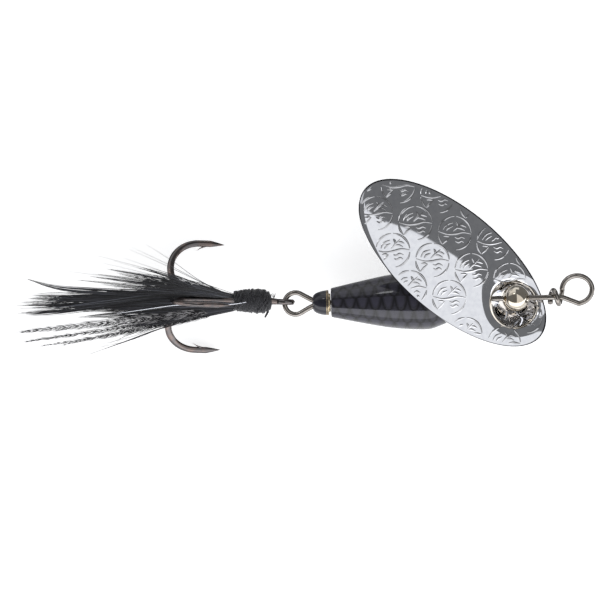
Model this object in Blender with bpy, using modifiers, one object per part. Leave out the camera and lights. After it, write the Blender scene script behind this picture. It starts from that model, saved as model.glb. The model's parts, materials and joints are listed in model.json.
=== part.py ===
"""Inline spinner: a wire shaft with a line-tie eye, a spinning blade on a bead, a weighted body,
a tail cap over the rear loop, and a dressed treble hook that swings in the loop.

Frame: +X along the shaft towards the line, +Y across, +Z up out of the blade's show face.
The lure lies on the ground plane as it would on a table; the origin is the middle of its footprint.
All driving sizes are in millimetres and are turned into metres where a piece is placed.
"""
import math

import bmesh
import bpy
from mathutils import Matrix, Vector

MM = 0.001

# ---------------------------------------------------------------- driving sizes (mm)
WIRE = 0.62                  # diameter of the stainless shaft wire
WIRE_CLEARANCE = 0.05        # radial play of every bore that turns on the wire
FIT_GAP = 0.06               # end play between neighbouring pieces on the wire
GROUND_GAP = 0.03            # the belly's height over the table

BLADE_LENGTH = 27.5
BLADE_WIDTH = 12.4
BLADE_SHEET = 0.40
BLADE_HOLE_PLAY = 0.69       # radial room round the wire in the blade's hole
BLADE_HOLE_FROM_TAIL = 20.4  # along the blade, tail tip to hole
BLADE_SLEW = 41.0            # degrees between the blade's long axis and the shaft, in plan
BLADE_ROLL = 17.0            # degrees that the blade leans about its long axis
BLADE_OVER_BODY = 0.4        # height of the blade's crest over the body
BLADE_CROWN = 0.45           # how far the side edges curl down
SHEET_AT_HOLE = 0.90         # height of the undished sheet where the hole is
POCKET_ROOM = 1.74           # pocket radius beyond the bead's
POCKET_DEPTH_ROOM = 1.09     # from the bead's lowest point to the top of the pocket's floor
POCKET_PAST_BEAD = 0.68      # pocket centre past the bead's centre, along the blade
POCKET_OFF_BEAD = 0.72       # pocket centre nearer the blade's middle line than the bead's centre

BEAD = 3.22                  # diameter of the front bead
BEAD_BACK = 0.89             # hole to the bead's rear end

BODY_LENGTH = 18.6
BODY_DIAMETER = 7.0
BODY_TAIL_DIAMETER = 3.44
BODY_NOSE_DIAMETER = 1.6
BODY_SHOULDER = 7.45         # nose to the largest diameter
NOSE_BEHIND_HOLE = 1.08
WASHER_DIAMETER = 1.9
WASHER_THICKNESS = 0.24

RING_WALL = 0.76
RING_LENGTH = 0.54
CAP_LENGTH = 1.88
CAP_FLARE = 0.68             # how much wider in radius the mouth is than the small end
CAP_WALL = 0.17
CAP_END_WALL = 0.45
CAP_SLOT_WALL = 0.12         # metal left beside the wire slot in the small end
CAP_OVERLAP = 0.31           # how deep the ring sits in the cap's mouth

EYE_INSIDE_LENGTH = 2.98     # line-tie eye, inside, along the shaft
EYE_INSIDE_WIDTH = 2.70
EYE_AHEAD = 9.87             # hole to eye centre
EYE_OFFSET = 0.86            # eye centre beside the shaft axis
WRAP_SLACK = 0.20            # gap between the locking turn and the shaft
WRAP_START = 8.10            # hole to where the turn leaves the eye
WRAP_PITCH = 1.25            # how far one whole turn moves back along the shaft
WRAP_FROM = 141              # degrees round the shaft where the turn begins
WRAP_SWEEP = 405             # degrees that it goes round

LOOP_INSIDE = 1.98           # width inside the rear loop's round end
LOOP_LENGTH = 3.40           # cap end to the loop's far centreline

HOOK_WIRE = 0.70
HOOK_GAP = 7.44              # treble axis to each point's straight part
HOOK_BEND_CENTRE = 10.2      # loop wire to the centre of the bends
HOOK_POINT = 3.1             # bend centre to the tip
HOOK_ROLL = 4.6              # degrees that the treble is turned about its own axis
HOOK_YAW = 3.2               # degrees that the treble hangs aside in the loop
HOOK_SIDE_SLIP = 0.22        # how far the eye has slid along the loop's round end
HOOK_EYE_PLAY = 0.24         # room round the loop's wire in the treble's eye
SHANK_PLAY = 0.03            # gap between the brazed shanks

THREAD_LENGTH = 4.45
THREAD_BUILD = 0.62          # thickness of the winding, at its fullest, at the front and at the back
THREAD_FRONT_BUILD = 0.16
THREAD_BACK_BUILD = 0.43
THREAD_BEHIND_LOOP = 1.68    # loop wire to the front of the thread head

HAIR_LENGTH = 26.4           # thread head to the longest hair tip
HACKLE_LENGTH = 25.6
FLASH_WIDTH = 0.30

# ---------------------------------------------------------------- sizes that follow
BORE = WIRE / 2 + WIRE_CLEARANCE
NOSE_X = -NOSE_BEHIND_HOLE
BODY_TAIL_X = NOSE_X - BODY_LENGTH
RING_X = BODY_TAIL_X - FIT_GAP - RING_LENGTH
RING_RADIUS = BORE + RING_WALL
BEAD_AHEAD = BEAD_BACK + BEAD / 2
BLADE_HOLE = WIRE + 2 * BLADE_HOLE_PLAY
BLADE_CREST = BODY_DIAMETER / 2 + BLADE_OVER_BODY
POCKET_RADIUS = BEAD / 2 + POCKET_ROOM
POCKET_FLOOR = BEAD / 2 + POCKET_DEPTH_ROOM + BLADE_SHEET / 2
POCKET_AHEAD = BEAD_AHEAD * math.cos(math.radians(BLADE_SLEW)) + POCKET_PAST_BEAD
POCKET_ASIDE = BEAD_AHEAD * math.sin(math.radians(BLADE_SLEW)) - POCKET_OFF_BEAD
CAP_MOUTH_X = RING_X + CAP_OVERLAP
CAP_END_X = CAP_MOUTH_X - CAP_LENGTH
WIRE_PAIR = WIRE / 2 + 0.04                    # offset of each wire of the pair inside the cap
CAP_END_RADIUS = WIRE_PAIR + BORE + CAP_SLOT_WALL
CAP_MOUTH_RADIUS = CAP_END_RADIUS + CAP_FLARE
WRAP_RADIUS = WIRE + WRAP_SLACK
LOOP_RADIUS = (LOOP_INSIDE + WIRE) / 2
LOOP_X = CAP_END_X - LOOP_LENGTH
HOOK_EYE_RADIUS = (WIRE + HOOK_WIRE) / 2 + HOOK_EYE_PLAY
BUNDLE_OFFSET = (HOOK_WIRE + SHANK_PLAY) / math.sqrt(3)
BUNDLE_BORE = BUNDLE_OFFSET + HOOK_WIRE / 2 + 0.05
THREAD_RADIUS = BUNDLE_BORE + THREAD_BUILD
THREAD_BACK_RADIUS = BUNDLE_BORE + THREAD_BACK_BUILD
AXIS_HEIGHT = BODY_DIAMETER / 2 + GROUND_GAP
LOW_HOOK = HOOK_GAP * math.cos(math.radians(60 - HOOK_ROLL)) + HOOK_WIRE / 2 + GROUND_GAP
HOOK_PITCH = math.degrees(math.asin((LOW_HOOK - AXIS_HEIGHT) / (HOOK_BEND_CENTRE - HOOK_POINT / 2)))


# ---------------------------------------------------------------- scene and materials
def clear_scene():
    for obj in list(bpy.data.objects):
        bpy.data.objects.remove(obj, do_unlink=True)


def new_collection(name):
    collection = bpy.data.collections.new(name)
    bpy.context.scene.collection.children.link(collection)
    return collection


def material(name, colour, metallic, roughness):
    mat = bpy.data.materials.new(name)
    mat.use_nodes = True
    shader = mat.node_tree.nodes["Principled BSDF"]
    shader.inputs["Base Color"].default_value = (*colour, 1.0)
    shader.inputs["Metallic"].default_value = metallic
    shader.inputs["Roughness"].default_value = roughness
    return mat


def mm(*point):
    return Vector(point) * MM


def empty(name, parent, location, rotation=(0.0, 0.0, 0.0)):
    obj = bpy.data.objects.new(name, None)
    obj.empty_display_size = 2 * MM
    PARTS.objects.link(obj)
    obj.parent = parent
    obj.location = location
    obj.rotation_euler = [math.radians(a) for a in rotation]
    return obj


def place(obj, parent, mat, location=(0.0, 0.0, 0.0), rotation=(0.0, 0.0, 0.0)):
    PARTS.objects.link(obj)
    obj.parent = parent
    obj.location = location
    obj.rotation_euler = [math.radians(a) for a in rotation]
    obj.data.materials.append(mat)
    return obj


def smooth(obj, angle=40):
    obj.data.shade_smooth()
    obj.data.set_sharp_from_angle(angle=math.radians(angle))


# ---------------------------------------------------------------- shape helpers
def spline(points, steps):
    """Catmull-Rom curve through the given points, ends included."""
    pts = [Vector(p) for p in points]
    ext = [2 * pts[0] - pts[1], *pts, 2 * pts[-1] - pts[-2]]
    out = []
    for a, b, c, d in zip(ext, ext[1:], ext[2:], ext[3:]):
        for i in range(steps):
            t = i / steps
            out.append(0.5 * (2 * b + (c - a) * t + (2 * a - 5 * b + 4 * c - d) * t ** 2
                              + (3 * b - a - 3 * c + d) * t ** 3))
    return out + [pts[-1]]


def arc(centre, radius_x, radius_y, start, end, steps, z=0.0):
    """Points on an ellipse in the XY plane, from start to end degrees."""
    out = []
    for i in range(steps + 1):
        a = math.radians(start + (end - start) * i / steps)
        out.append(Vector((centre[0] + radius_x * math.cos(a), centre[1] + radius_y * math.sin(a), z)))
    return out


def turned(name, profile, parent, mat, x=0.0, segments=32):
    """Solid of revolution about the shaft. The profile is (radius, distance along the shaft),
    listed down the outer side from the front and back up the bore."""
    bm = bmesh.new()
    verts = [bm.verts.new(mm(r, 0, z)) for r, z in profile]
    for a, b in zip(verts, verts[1:] + verts[:1]):
        bm.edges.new((a, b))
    mesh = bpy.data.meshes.new(name)
    bm.to_mesh(mesh)
    bm.free()
    obj = place(bpy.data.objects.new(name, mesh), parent, mat, mm(x, 0, 0), (0, 90, 0))
    screw = obj.modifiers.new("turn", "SCREW")
    screw.steps = segments
    screw.render_steps = segments
    screw.use_merge_vertices = True
    screw.merge_threshold = 0.000001
    screw.use_smooth_shade = True
    return obj


def wire(name, points, diameter, parent, mat, radii=None, sides=2):
    """Round wire along a list of points, with closed ends."""
    data = bpy.data.curves.new(name, "CURVE")
    data.dimensions = "3D"
    data.bevel_depth = diameter / 2 * MM
    data.bevel_resolution = sides
    data.render_resolution_u = 0
    data.use_fill_caps = True
    run = data.splines.new("POLY")
    run.points.add(len(points) - 1)
    for i, p in enumerate(points):
        run.points[i].co = (*(Vector(p) * MM), 1.0)
        run.points[i].radius = radii[i] if radii else 1.0
    return place(bpy.data.objects.new(name, data), parent, mat)


def as_mesh(obj):
    """Replace a curve object by the mesh that it evaluates to, with its caps welded on."""
    bpy.context.view_layer.update()
    deps = bpy.context.evaluated_depsgraph_get()
    mesh = bpy.data.meshes.new_from_object(obj.evaluated_get(deps))
    bm = bmesh.new()
    bm.from_mesh(mesh)
    bmesh.ops.remove_doubles(bm, verts=bm.verts, dist=0.000001)
    bm.to_mesh(mesh)
    bm.free()
    name, parent, world, mat = obj.name, obj.parent, obj.matrix_world.copy(), obj.data.materials[0]
    bpy.data.objects.remove(obj, do_unlink=True)
    solid = bpy.data.objects.new(name, mesh)
    PARTS.objects.link(solid)
    solid.parent = parent
    solid.matrix_world = world
    if not mesh.materials:
        mesh.materials.append(mat)
    return solid


def make_cutter(obj):
    """Move an object to the cutters, out of the model."""
    for collection in list(obj.users_collection):
        collection.objects.unlink(obj)
    CUTTERS.objects.link(obj)
    obj.hide_render = True
    obj.display_type = "WIRE"
    return obj


def boolean(obj, other, operation):
    mod = obj.modifiers.new(operation.lower(), "BOOLEAN")
    mod.operation = operation
    mod.solver = "EXACT"
    mod.object = other
    return mod


# ---------------------------------------------------------------- shaft wire
def shaft_path():
    """One wire: tail end tucked in the cap, rear loop, shaft, line-tie eye, locking turns."""
    pair = WIRE_PAIR
    inside = CAP_END_X + CAP_END_WALL
    path = [Vector((inside + 0.36, pair + 0.06, 0)), Vector((inside + 0.1, pair, 0))]
    path.append(Vector((CAP_END_X, pair, 0)))
    # straight legs that run tangent into the loop's round end
    centre_x = LOOP_X + LOOP_RADIUS
    reach = CAP_END_X - centre_x
    leg = math.degrees(math.atan2(pair, reach) + math.acos(LOOP_RADIUS / math.hypot(reach, pair)))
    path += arc((centre_x, 0), LOOP_RADIUS, LOOP_RADIUS, leg, 360 - leg, 20)
    path += [Vector((CAP_END_X, -pair, 0)), Vector((inside + 0.1, -pair, 0))]
    # ease back on to the shaft axis inside the cap
    ease = RING_X - 0.1 - (inside + 0.1)
    for t in (0.25, 0.5, 0.75):
        path.append(Vector((inside + 0.1 + ease * t, -pair * (1 + math.cos(math.pi * t)) / 2, 0)))
    path += [Vector((RING_X - 0.1, 0, 0)), Vector((0, 0, 0))]
    # the eye: out along its near side, round, and back down beside the shaft
    rx = (EYE_INSIDE_LENGTH + WIRE) / 2
    ry = (EYE_INSIDE_WIDTH + WIRE) / 2
    path += spline([(WRAP_START - 0.65, 0, 0), (WRAP_START, -0.06, 0),
                    (EYE_AHEAD - rx * 0.5, EYE_OFFSET - ry * 0.75, 0)], 3)
    path += arc((EYE_AHEAD, EYE_OFFSET), rx, ry, -86, 172, 26)
    # locking turn: under the shaft, over it, under again, and out as a short stub
    for i in range(19):
        a = math.radians(WRAP_FROM + WRAP_SWEEP * i / 18)
        back = WRAP_PITCH * WRAP_SWEEP / 360 * i / 18
        path.append(Vector((WRAP_START - back, WRAP_RADIUS * math.sin(a), WRAP_RADIUS * math.cos(a))))
    end = path[-1]
    path += [end + Vector((0.0, -0.30, 0.06)), end + Vector((-0.02, -0.60, 0.24))]
    return path


def build_shaft(root):
    steel = material("shaft_wire", (0.55, 0.50, 0.43), 1.0, 0.18)
    return wire("shaft_wire", shaft_path(), WIRE, root, steel)


# ---------------------------------------------------------------- turned pieces on the wire
def build_front_bead(root):
    plate = material("front_bead", (0.74, 0.66, 0.52), 1.0, 0.06)
    radius = BEAD / 2
    hole = math.asin(BORE / radius)
    steps = 18
    side = []
    for i in range(steps + 1):
        a = hole + (math.pi - 2 * hole) * i / steps
        side.append((radius * math.sin(a), radius * math.cos(a)))
    return turned("front_bead", side, root, plate, BEAD_AHEAD, 36)


def washer_profile(outer, length):
    edge = min(0.05, length / 4)
    return [(outer - edge, length), (outer, length - edge), (outer, edge), (outer - edge, 0),
            (BORE, 0), (BORE, length)]


def build_washer(root):
    brass = material("bearing_washer", (0.72, 0.52, 0.25), 1.0, 0.22)
    x = NOSE_X + FIT_GAP
    return turned("bearing_washer", washer_profile(WASHER_DIAMETER / 2, WASHER_THICKNESS), root, brass, x)


def body_radii():
    """Radius of the body at a few stations, as (radius, distance behind the nose)."""
    big = BODY_DIAMETER / 2
    tail = BODY_TAIL_DIAMETER / 2
    nose = BODY_NOSE_DIAMETER / 2
    run = BODY_LENGTH - BODY_SHOULDER
    swell = big - tail
    return [(nose, 0, 0), (nose + (big - nose) * 0.42, BODY_SHOULDER * 0.37, 0),
            (nose + (big - nose) * 0.80, BODY_SHOULDER * 0.70, 0),
            (nose + (big - nose) * 0.965, BODY_SHOULDER * 0.87, 0), (big, BODY_SHOULDER, 0),
            (tail + swell * 0.965, BODY_SHOULDER + run * 0.15, 0),
            (tail + swell * 0.80, BODY_SHOULDER + run * 0.39, 0),
            (tail + swell * 0.41, BODY_SHOULDER + run * 0.71, 0),
            (tail + 0.06, BODY_LENGTH - 0.12, 0)]


def build_body(root):
    paint = material("body", (0.02, 0.022, 0.03), 0.0, 0.08)
    outer = [(p.x, -p.y) for p in spline(body_radii(), 3)]
    outer.append((BODY_TAIL_DIAMETER / 2 - 0.05, -BODY_LENGTH))
    return turned("body", outer + [(BORE, -BODY_LENGTH), (BORE, 0)], root, paint, NOSE_X, 40)


def build_ring(root):
    brass = material("spacer_ring", (0.72, 0.52, 0.25), 1.0, 0.22)
    return turned("spacer_ring", washer_profile(RING_RADIUS, RING_LENGTH), root, brass, RING_X)


def build_tail_cap(root):
    black = material("tail_cap", (0.015, 0.015, 0.018), 0.0, 0.18)
    mouth = CAP_MOUTH_RADIUS
    end = CAP_END_RADIUS
    slope = (mouth - end) / CAP_LENGTH
    floor_radius = end + slope * CAP_END_WALL - CAP_WALL
    profile = [(mouth - 0.04, CAP_LENGTH), (mouth, CAP_LENGTH - 0.06), (end + 0.05, 0.05), (end - 0.03, 0),
               (0.02, 0), (0.02, CAP_END_WALL), (floor_radius, CAP_END_WALL), (mouth - CAP_WALL, CAP_LENGTH)]
    cap = turned("tail_cap", profile, root, black, CAP_END_X)
    # the two wires leave through one slot in the end wall
    outline = bpy.data.curves.new("cap_slot_cutter", "CURVE")
    outline.dimensions = "2D"
    outline.fill_mode = "BOTH"
    outline.extrude = (CAP_END_WALL + 0.3) / 2 * MM
    half = WIRE / 2 + WIRE_CLEARANCE
    points = arc((0, WIRE_PAIR), half, half, 0, 180, 10) + arc((0, -WIRE_PAIR), half, half, 180, 360, 10)
    run = outline.splines.new("POLY")
    run.use_cyclic_u = True
    run.points.add(len(points) - 1)
    for i, p in enumerate(points):
        run.points[i].co = (*(p * MM), 1.0)
    cutter = place(bpy.data.objects.new("cap_slot_cutter", outline), root, black,
                   mm(CAP_END_X + CAP_END_WALL / 2, 0, 0), (0, 90, 0))
    cutter = make_cutter(as_mesh(cutter))
    boolean(cap, cutter, "DIFFERENCE")
    return cap


# ---------------------------------------------------------------- blade
def blade_height(s, w):
    """Height of the sheet's middle over the shaft axis, at s along the blade from the hole
    (front positive) and w across it: a bowed and crowned sheet with a bowl pressed into it."""
    tail = -BLADE_HOLE_FROM_TAIL
    front = BLADE_LENGTH + tail
    if "curve" not in BOW:
        stations = [(tail, BLADE_CREST - 0.7, 0), (tail * 0.66, BLADE_CREST, 0),
                    (tail * 0.31, BLADE_CREST - 0.85, 0), (0.0, SHEET_AT_HOLE, 0),
                    (front * 0.64, -0.12, 0), (front, -0.6, 0)]
        BOW["curve"] = [(p.x, p.y) for p in spline(stations, 12)]
    bow = BOW["curve"]
    height = bow[-1][1]
    for (s0, z0), (s1, z1) in zip(bow, bow[1:]):
        if s <= s1:
            height = z0 + (z1 - z0) * (s - s0) / (s1 - s0)
            break
    sheet = height - BLADE_CROWN * (w / (BLADE_WIDTH / 2)) ** 2
    # the bowl's wall crosses the shaft axis at the hole
    at_hole = math.hypot(POCKET_AHEAD, POCKET_ASIDE)
    reach = math.hypot(s - POCKET_AHEAD, w - POCKET_ASIDE)
    bowl = POCKET_FLOOR * ((reach / at_hole) ** 2 - 1)
    pressed = 0.5 * (sheet + bowl - math.sqrt((sheet - bowl) ** 2 + 0.04))
    return pressed - w * math.tan(math.radians(BLADE_ROLL))


BOW = {}


def build_blade(tilt):
    chrome = material("blade", (0.80, 0.81, 0.83), 1.0, 0.05)
    # a sheet of rings round the pocket: round over the pocket, then out to the oval edge
    inner_rings = 9
    outer_rings = 11
    around = 64
    bm = bmesh.new()
    bmesh.ops.create_grid(bm, x_segments=inner_rings + outer_rings, y_segments=around, size=0.5)
    centre_s = BLADE_LENGTH / 2 - BLADE_HOLE_FROM_TAIL
    half_l = BLADE_LENGTH / 2
    half_w = BLADE_WIDTH / 2
    pocket = Vector((POCKET_AHEAD, POCKET_ASIDE))
    for v in bm.verts:
        ring = round((v.co.x + 0.5) * (inner_rings + outer_rings))
        a = 2 * math.pi * (v.co.y + 0.5)
        edge = Vector((centre_s + half_l * math.cos(a), half_w * math.sin(a))) - pocket
        rim = min(POCKET_RADIUS * 1.06, edge.length * 0.97)
        if ring <= inner_rings:
            r = rim * ring / inner_rings
        else:
            r = rim + (edge.length - rim) * (ring - inner_rings) / outer_rings
        s, w = pocket + edge.normalized() * r
        v.co = mm(s, w, blade_height(s, w))
    bmesh.ops.remove_doubles(bm, verts=bm.verts, dist=0.000002)
    bmesh.ops.recalc_face_normals(bm, faces=bm.faces)
    if sum(f.normal.z for f in bm.faces) < 0:
        bmesh.ops.reverse_faces(bm, faces=bm.faces)
    mesh = bpy.data.meshes.new("blade")
    bm.to_mesh(mesh)
    bm.free()
    blade = place(bpy.data.objects.new("blade", mesh), tilt, chrome)
    shell = blade.modifiers.new("sheet", "SOLIDIFY")
    shell.thickness = BLADE_SHEET * MM
    shell.offset = 0.0
    # the hole is cut along the wire
    bm = bmesh.new()
    turn = Matrix.Rotation(math.radians(BLADE_SLEW), 4, "Z") @ Matrix.Rotation(math.radians(90), 4, "Y")
    bmesh.ops.create_cone(bm, cap_ends=True, segments=28, radius1=BLADE_HOLE / 2 * MM,
                          radius2=BLADE_HOLE / 2 * MM, depth=3.2 * MM, matrix=turn)
    mesh = bpy.data.meshes.new("blade_hole_cutter")
    bm.to_mesh(mesh)
    bm.free()
    cutter = place(bpy.data.objects.new("blade_hole_cutter", mesh), tilt, chrome)
    boolean(blade, make_cutter(cutter), "DIFFERENCE")
    smooth(blade, 60)
    return blade


# ---------------------------------------------------------------- treble hook
def hook_side(angle):
    """Unit vector across the treble, at an angle from straight up towards -Y."""
    a = math.radians(angle)
    return Vector((0, -math.sin(a), math.cos(a)))


def hook_arm(angle, front_x):
    """Centreline and radii of one hook, from its shank's front end to its needle tip."""
    side = hook_side(angle)
    bend = (HOOK_GAP - BUNDLE_OFFSET) / 2
    path = [Vector((front_x, 0, 0)) + side * BUNDLE_OFFSET]
    for i in range(17):
        a = math.pi * i / 16
        path.append(Vector((-HOOK_BEND_CENTRE - bend * math.sin(a), 0, 0))
                    + side * (BUNDLE_OFFSET + bend * (1 - math.cos(a))))
    radii = [1.0] * len(path)
    for along, size in ((0.45, 1.0), (0.62, 0.74), (0.80, 0.42), (0.92, 0.2), (1.0, 0.05)):
        inward = 0.18 * max(0.0, along - 0.4)
        path.append(Vector((-HOOK_BEND_CENTRE + HOOK_POINT * along, 0, 0)) + side * (HOOK_GAP - inward))
        radii.append(size)
    return path, radii


def add_barb(hook, angle):
    """A cut barb on the inner side of the point, leaning back towards the bend."""
    side = hook_side(angle)
    root = Vector((-HOOK_BEND_CENTRE + HOOK_POINT * 0.42, 0, 0)) + side * (HOOK_GAP - HOOK_WIRE * 0.25)
    tip = Vector((-HOOK_BEND_CENTRE - 0.35, 0, 0)) + side * (HOOK_GAP - 0.98)
    lean = (tip - root).normalized()
    turn = lean.to_track_quat("Z", "Y").to_matrix().to_4x4()
    length = (tip - root).length
    bm = bmesh.new()
    bmesh.ops.create_cone(bm, cap_ends=True, segments=8, radius1=0.20 * MM, radius2=0.02 * MM,
                          depth=length * MM, matrix=Matrix.Translation((root + lean * length / 2) * MM) @ turn)
    mesh = bpy.data.meshes.new("barb")
    bm.to_mesh(mesh)
    bm.free()
    barb = place(bpy.data.objects.new(f"barb_cutter_{angle:.0f}", mesh), hook.parent, hook.data.materials[0])
    boolean(hook, make_cutter(barb), "UNION")


def build_treble(swing):
    nickel = material("double_hook", (0.16, 0.13, 0.12), 1.0, 0.22)
    low = 120 + HOOK_ROLL
    high = HOOK_ROLL - 120
    start = -3.2
    arm_a, radii_a = hook_arm(low, start)
    arm_b, radii_b = hook_arm(high, start)
    # the two shanks come together over and under each other and close into the eye
    stack = HOOK_WIRE / 2 + 0.05
    ring = math.degrees(math.asin(stack / HOOK_EYE_RADIUS))
    eye = [Vector((HOOK_EYE_RADIUS * math.cos(math.radians(a)), 0, HOOK_EYE_RADIUS * math.sin(math.radians(a))))
           for a in [-180 + ring + (360 - 2 * ring) * i / 20 for i in range(21)]]
    neck = -THREAD_BEHIND_LOOP
    apart = BUNDLE_OFFSET
    into = [Vector((start + 0.55, -0.62 * apart, -0.86 * apart)), Vector((neck - 0.15, -0.12 * apart, -apart))]
    back = [Vector((neck - 0.15, 0.28 * apart, apart)), Vector((start + 0.95, 0.86 * apart, 0.64 * apart)),
            Vector((start + 0.5, 1.05 * apart, 0.0))]
    path = arm_a[::-1] + into + eye + back + arm_b
    radii = radii_a[::-1] + [1.0] * (len(into) + len(eye) + len(back)) + radii_b
    double = as_mesh(wire("double_hook", path, HOOK_WIRE, swing, nickel, radii))
    add_barb(double, low)
    add_barb(double, high)
    single_nickel = material("single_hook", (0.16, 0.13, 0.12), 1.0, 0.22)
    path, radii = hook_arm(HOOK_ROLL, start - 0.15)
    single = as_mesh(wire("single_hook", path, HOOK_WIRE, swing, single_nickel, radii))
    add_barb(single, HOOK_ROLL)
    return [double, single]


def build_thread_head(swing):
    thread = material("thread_head", (0.015, 0.015, 0.018), 0.0, 0.75)
    front = BUNDLE_BORE + THREAD_FRONT_BUILD
    big = THREAD_RADIUS
    back = THREAD_BACK_RADIUS
    length = THREAD_LENGTH
    outer = spline([(front, 0, 0), (big * 0.86, -0.4, 0), (big, -1.1, 0), (big, -length * 0.6, 0),
                    (back, -length, 0)], 3)
    profile = [(p.x, p.y) for p in outer] + [(BUNDLE_BORE, -length), (BUNDLE_BORE, 0)]
    return turned("thread_head", profile, swing, thread, -THREAD_BEHIND_LOOP, 24)


# ---------------------------------------------------------------- hair and feather dressing
def tuft(name, route, sizes, flatten, swing, mat):
    """A tapered bundle of fibres as one plain closed solid. Its section is an oval, flatter in Z."""
    path = spline([(x, y, z / flatten) for x, y, z in route], 4)
    fat = [p.x for p in spline([(s, 0, 0) for s in sizes], 4)]
    obj = wire(name, path, 1.0, swing, mat, [2 * f for f in fat], 3)
    obj.scale = (1.0, 1.0, flatten)
    return obj


def build_dressing(swing):
    black = (0.012, 0.012, 0.016)
    back = -THREAD_BEHIND_LOOP - THREAD_LENGTH - 0.12
    tie = (BUNDLE_BORE + THREAD_BACK_RADIUS) / 2
    far = -THREAD_BEHIND_LOOP - THREAD_LENGTH - HAIR_LENGTH

    def along(share):
        return back + (far - back) * share

    core = tuft("tail_hair_core",
                [(back, 0.1, -tie), (along(0.16), 0.1, -1.5), (along(0.36), 0, -1.5), (along(0.60), -0.15, -1.0),
                 (along(0.82), 0.1, -0.5), (far, 0.5, -0.2)],
                [0.16, 0.55, 1.05, 1.35, 0.95, 0.10], 0.8, swing, material("tail_hair_core", black, 0.0, 0.5))
    left = tuft("tail_hair_left",
                [(back, tie * 0.8, tie * 0.6), (along(0.16), 1.9, 0.9), (along(0.36), 2.6, 1.0),
                 (along(0.60), 2.5, 0.9), (along(0.80), 2.6, 0.9), (along(0.95), 2.9, 0.9)],
                [0.14, 0.62, 1.05, 1.15, 0.75, 0.10], 0.7, swing, material("tail_hair_left", black, 0.0, 0.5))
    right = tuft("tail_hair_right",
                 [(back, -tie * 0.8, tie * 0.6), (along(0.16), -2.0, 0.8), (along(0.36), -3.0, 0.8),
                  (along(0.60), -3.3, 0.7), (along(0.78), -3.2, 0.5)],
                 [0.14, 0.62, 0.95, 0.95, 0.10], 0.7, swing, material("tail_hair_right", black, 0.0, 0.5))
    tip = back - HACKLE_LENGTH
    hackle = tuft("barred_hackle",
                  [(back, -tie * 0.95, -0.3), (back - 4.2, -2.9, -0.9), (back - 9, -4.6, -1.1),
                   (back - 17, -5.3, -0.8), (tip, -4.4, -0.3)],
                  [0.12, 0.32, 0.75, 0.85, 0.10], 0.45, swing, material("barred_hackle", (0.3, 0.29, 0.3), 0.0, 0.6))
    flash = wire("flash_strand", spline([(back, -0.15, tie), (back - 1.6, -0.75, 1.6), (back - 7, -0.95, 2.3),
                                         (back - 14.5, -1.5, 2.4)], 5),
                 FLASH_WIDTH, swing, material("flash_strand", (0.6, 0.62, 0.68), 0.6, 0.2), sides=1)
    return [core, left, right, hackle, flash]


# ---------------------------------------------------------------- whole lure
def stand_on_ground(root):
    """Move the lure so that the origin is the middle of its footprint, on the ground plane."""
    bpy.context.view_layer.update()
    deps = bpy.context.evaluated_depsgraph_get()
    low = Vector((math.inf,) * 3)
    high = -low
    for obj in PARTS.objects:
        if obj.type == "EMPTY":
            continue
        seen = obj.evaluated_get(deps)
        mesh = seen.to_mesh()
        for v in mesh.vertices:
            p = obj.matrix_world @ v.co
            low = Vector(map(min, low, p))
            high = Vector(map(max, high, p))
        seen.to_mesh_clear()
    root.location -= Vector(((low.x + high.x) / 2, (low.y + high.y) / 2, low.z))


clear_scene()
PARTS = new_collection("inline_spinner")
CUTTERS = new_collection("cutters")

lure = empty("shaft_axis", None, (0, 0, 0))
build_shaft(lure)
build_front_bead(lure)
build_washer(lure)
build_body(lure)
build_ring(lure)
build_tail_cap(lure)
build_blade(empty("blade_tilt_axis", lure, (0, 0, 0), (0, 0, -BLADE_SLEW)))
treble_swing = empty("treble_swing_axis", lure, mm(LOOP_X, HOOK_SIDE_SLIP, 0), (0, HOOK_PITCH, -HOOK_YAW))
build_treble(treble_swing)
build_thread_head(treble_swing)
build_dressing(treble_swing)
stand_on_ground(lure)
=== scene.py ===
"""Inline spinner: the fine pieces and their finishes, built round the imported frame.

Sizes are in millimetres. A "shaft" point is measured from the blade's hole: X along the wire to the
line, Y across, Z up. A "treble" point is measured from the rear loop, where the hook swings.
A "blade" point is along the blade from its hole, across it, and up.
"""
import json
import math
import random

import bmesh
import bpy
from mathutils import Matrix, Vector, noise


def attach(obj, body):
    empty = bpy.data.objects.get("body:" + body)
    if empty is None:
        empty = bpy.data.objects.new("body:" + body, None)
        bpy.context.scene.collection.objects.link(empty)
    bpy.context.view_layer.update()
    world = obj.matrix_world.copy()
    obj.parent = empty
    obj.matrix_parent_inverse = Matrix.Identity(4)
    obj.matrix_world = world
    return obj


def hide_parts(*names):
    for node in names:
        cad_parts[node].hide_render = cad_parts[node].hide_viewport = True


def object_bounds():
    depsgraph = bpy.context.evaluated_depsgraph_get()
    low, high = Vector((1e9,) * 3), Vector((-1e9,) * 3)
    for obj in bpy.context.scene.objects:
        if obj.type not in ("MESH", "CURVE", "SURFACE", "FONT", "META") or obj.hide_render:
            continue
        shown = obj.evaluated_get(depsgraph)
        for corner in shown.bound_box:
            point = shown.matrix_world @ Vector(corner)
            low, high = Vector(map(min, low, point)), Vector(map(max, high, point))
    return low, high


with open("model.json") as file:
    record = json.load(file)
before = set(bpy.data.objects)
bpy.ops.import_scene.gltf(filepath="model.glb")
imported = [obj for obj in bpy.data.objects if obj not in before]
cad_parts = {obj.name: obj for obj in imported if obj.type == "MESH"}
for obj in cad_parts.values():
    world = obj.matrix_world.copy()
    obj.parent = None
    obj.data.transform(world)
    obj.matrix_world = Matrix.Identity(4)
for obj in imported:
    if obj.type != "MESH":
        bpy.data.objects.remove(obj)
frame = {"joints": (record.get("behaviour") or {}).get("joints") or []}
cad_box = [list(corner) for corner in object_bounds()]

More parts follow.
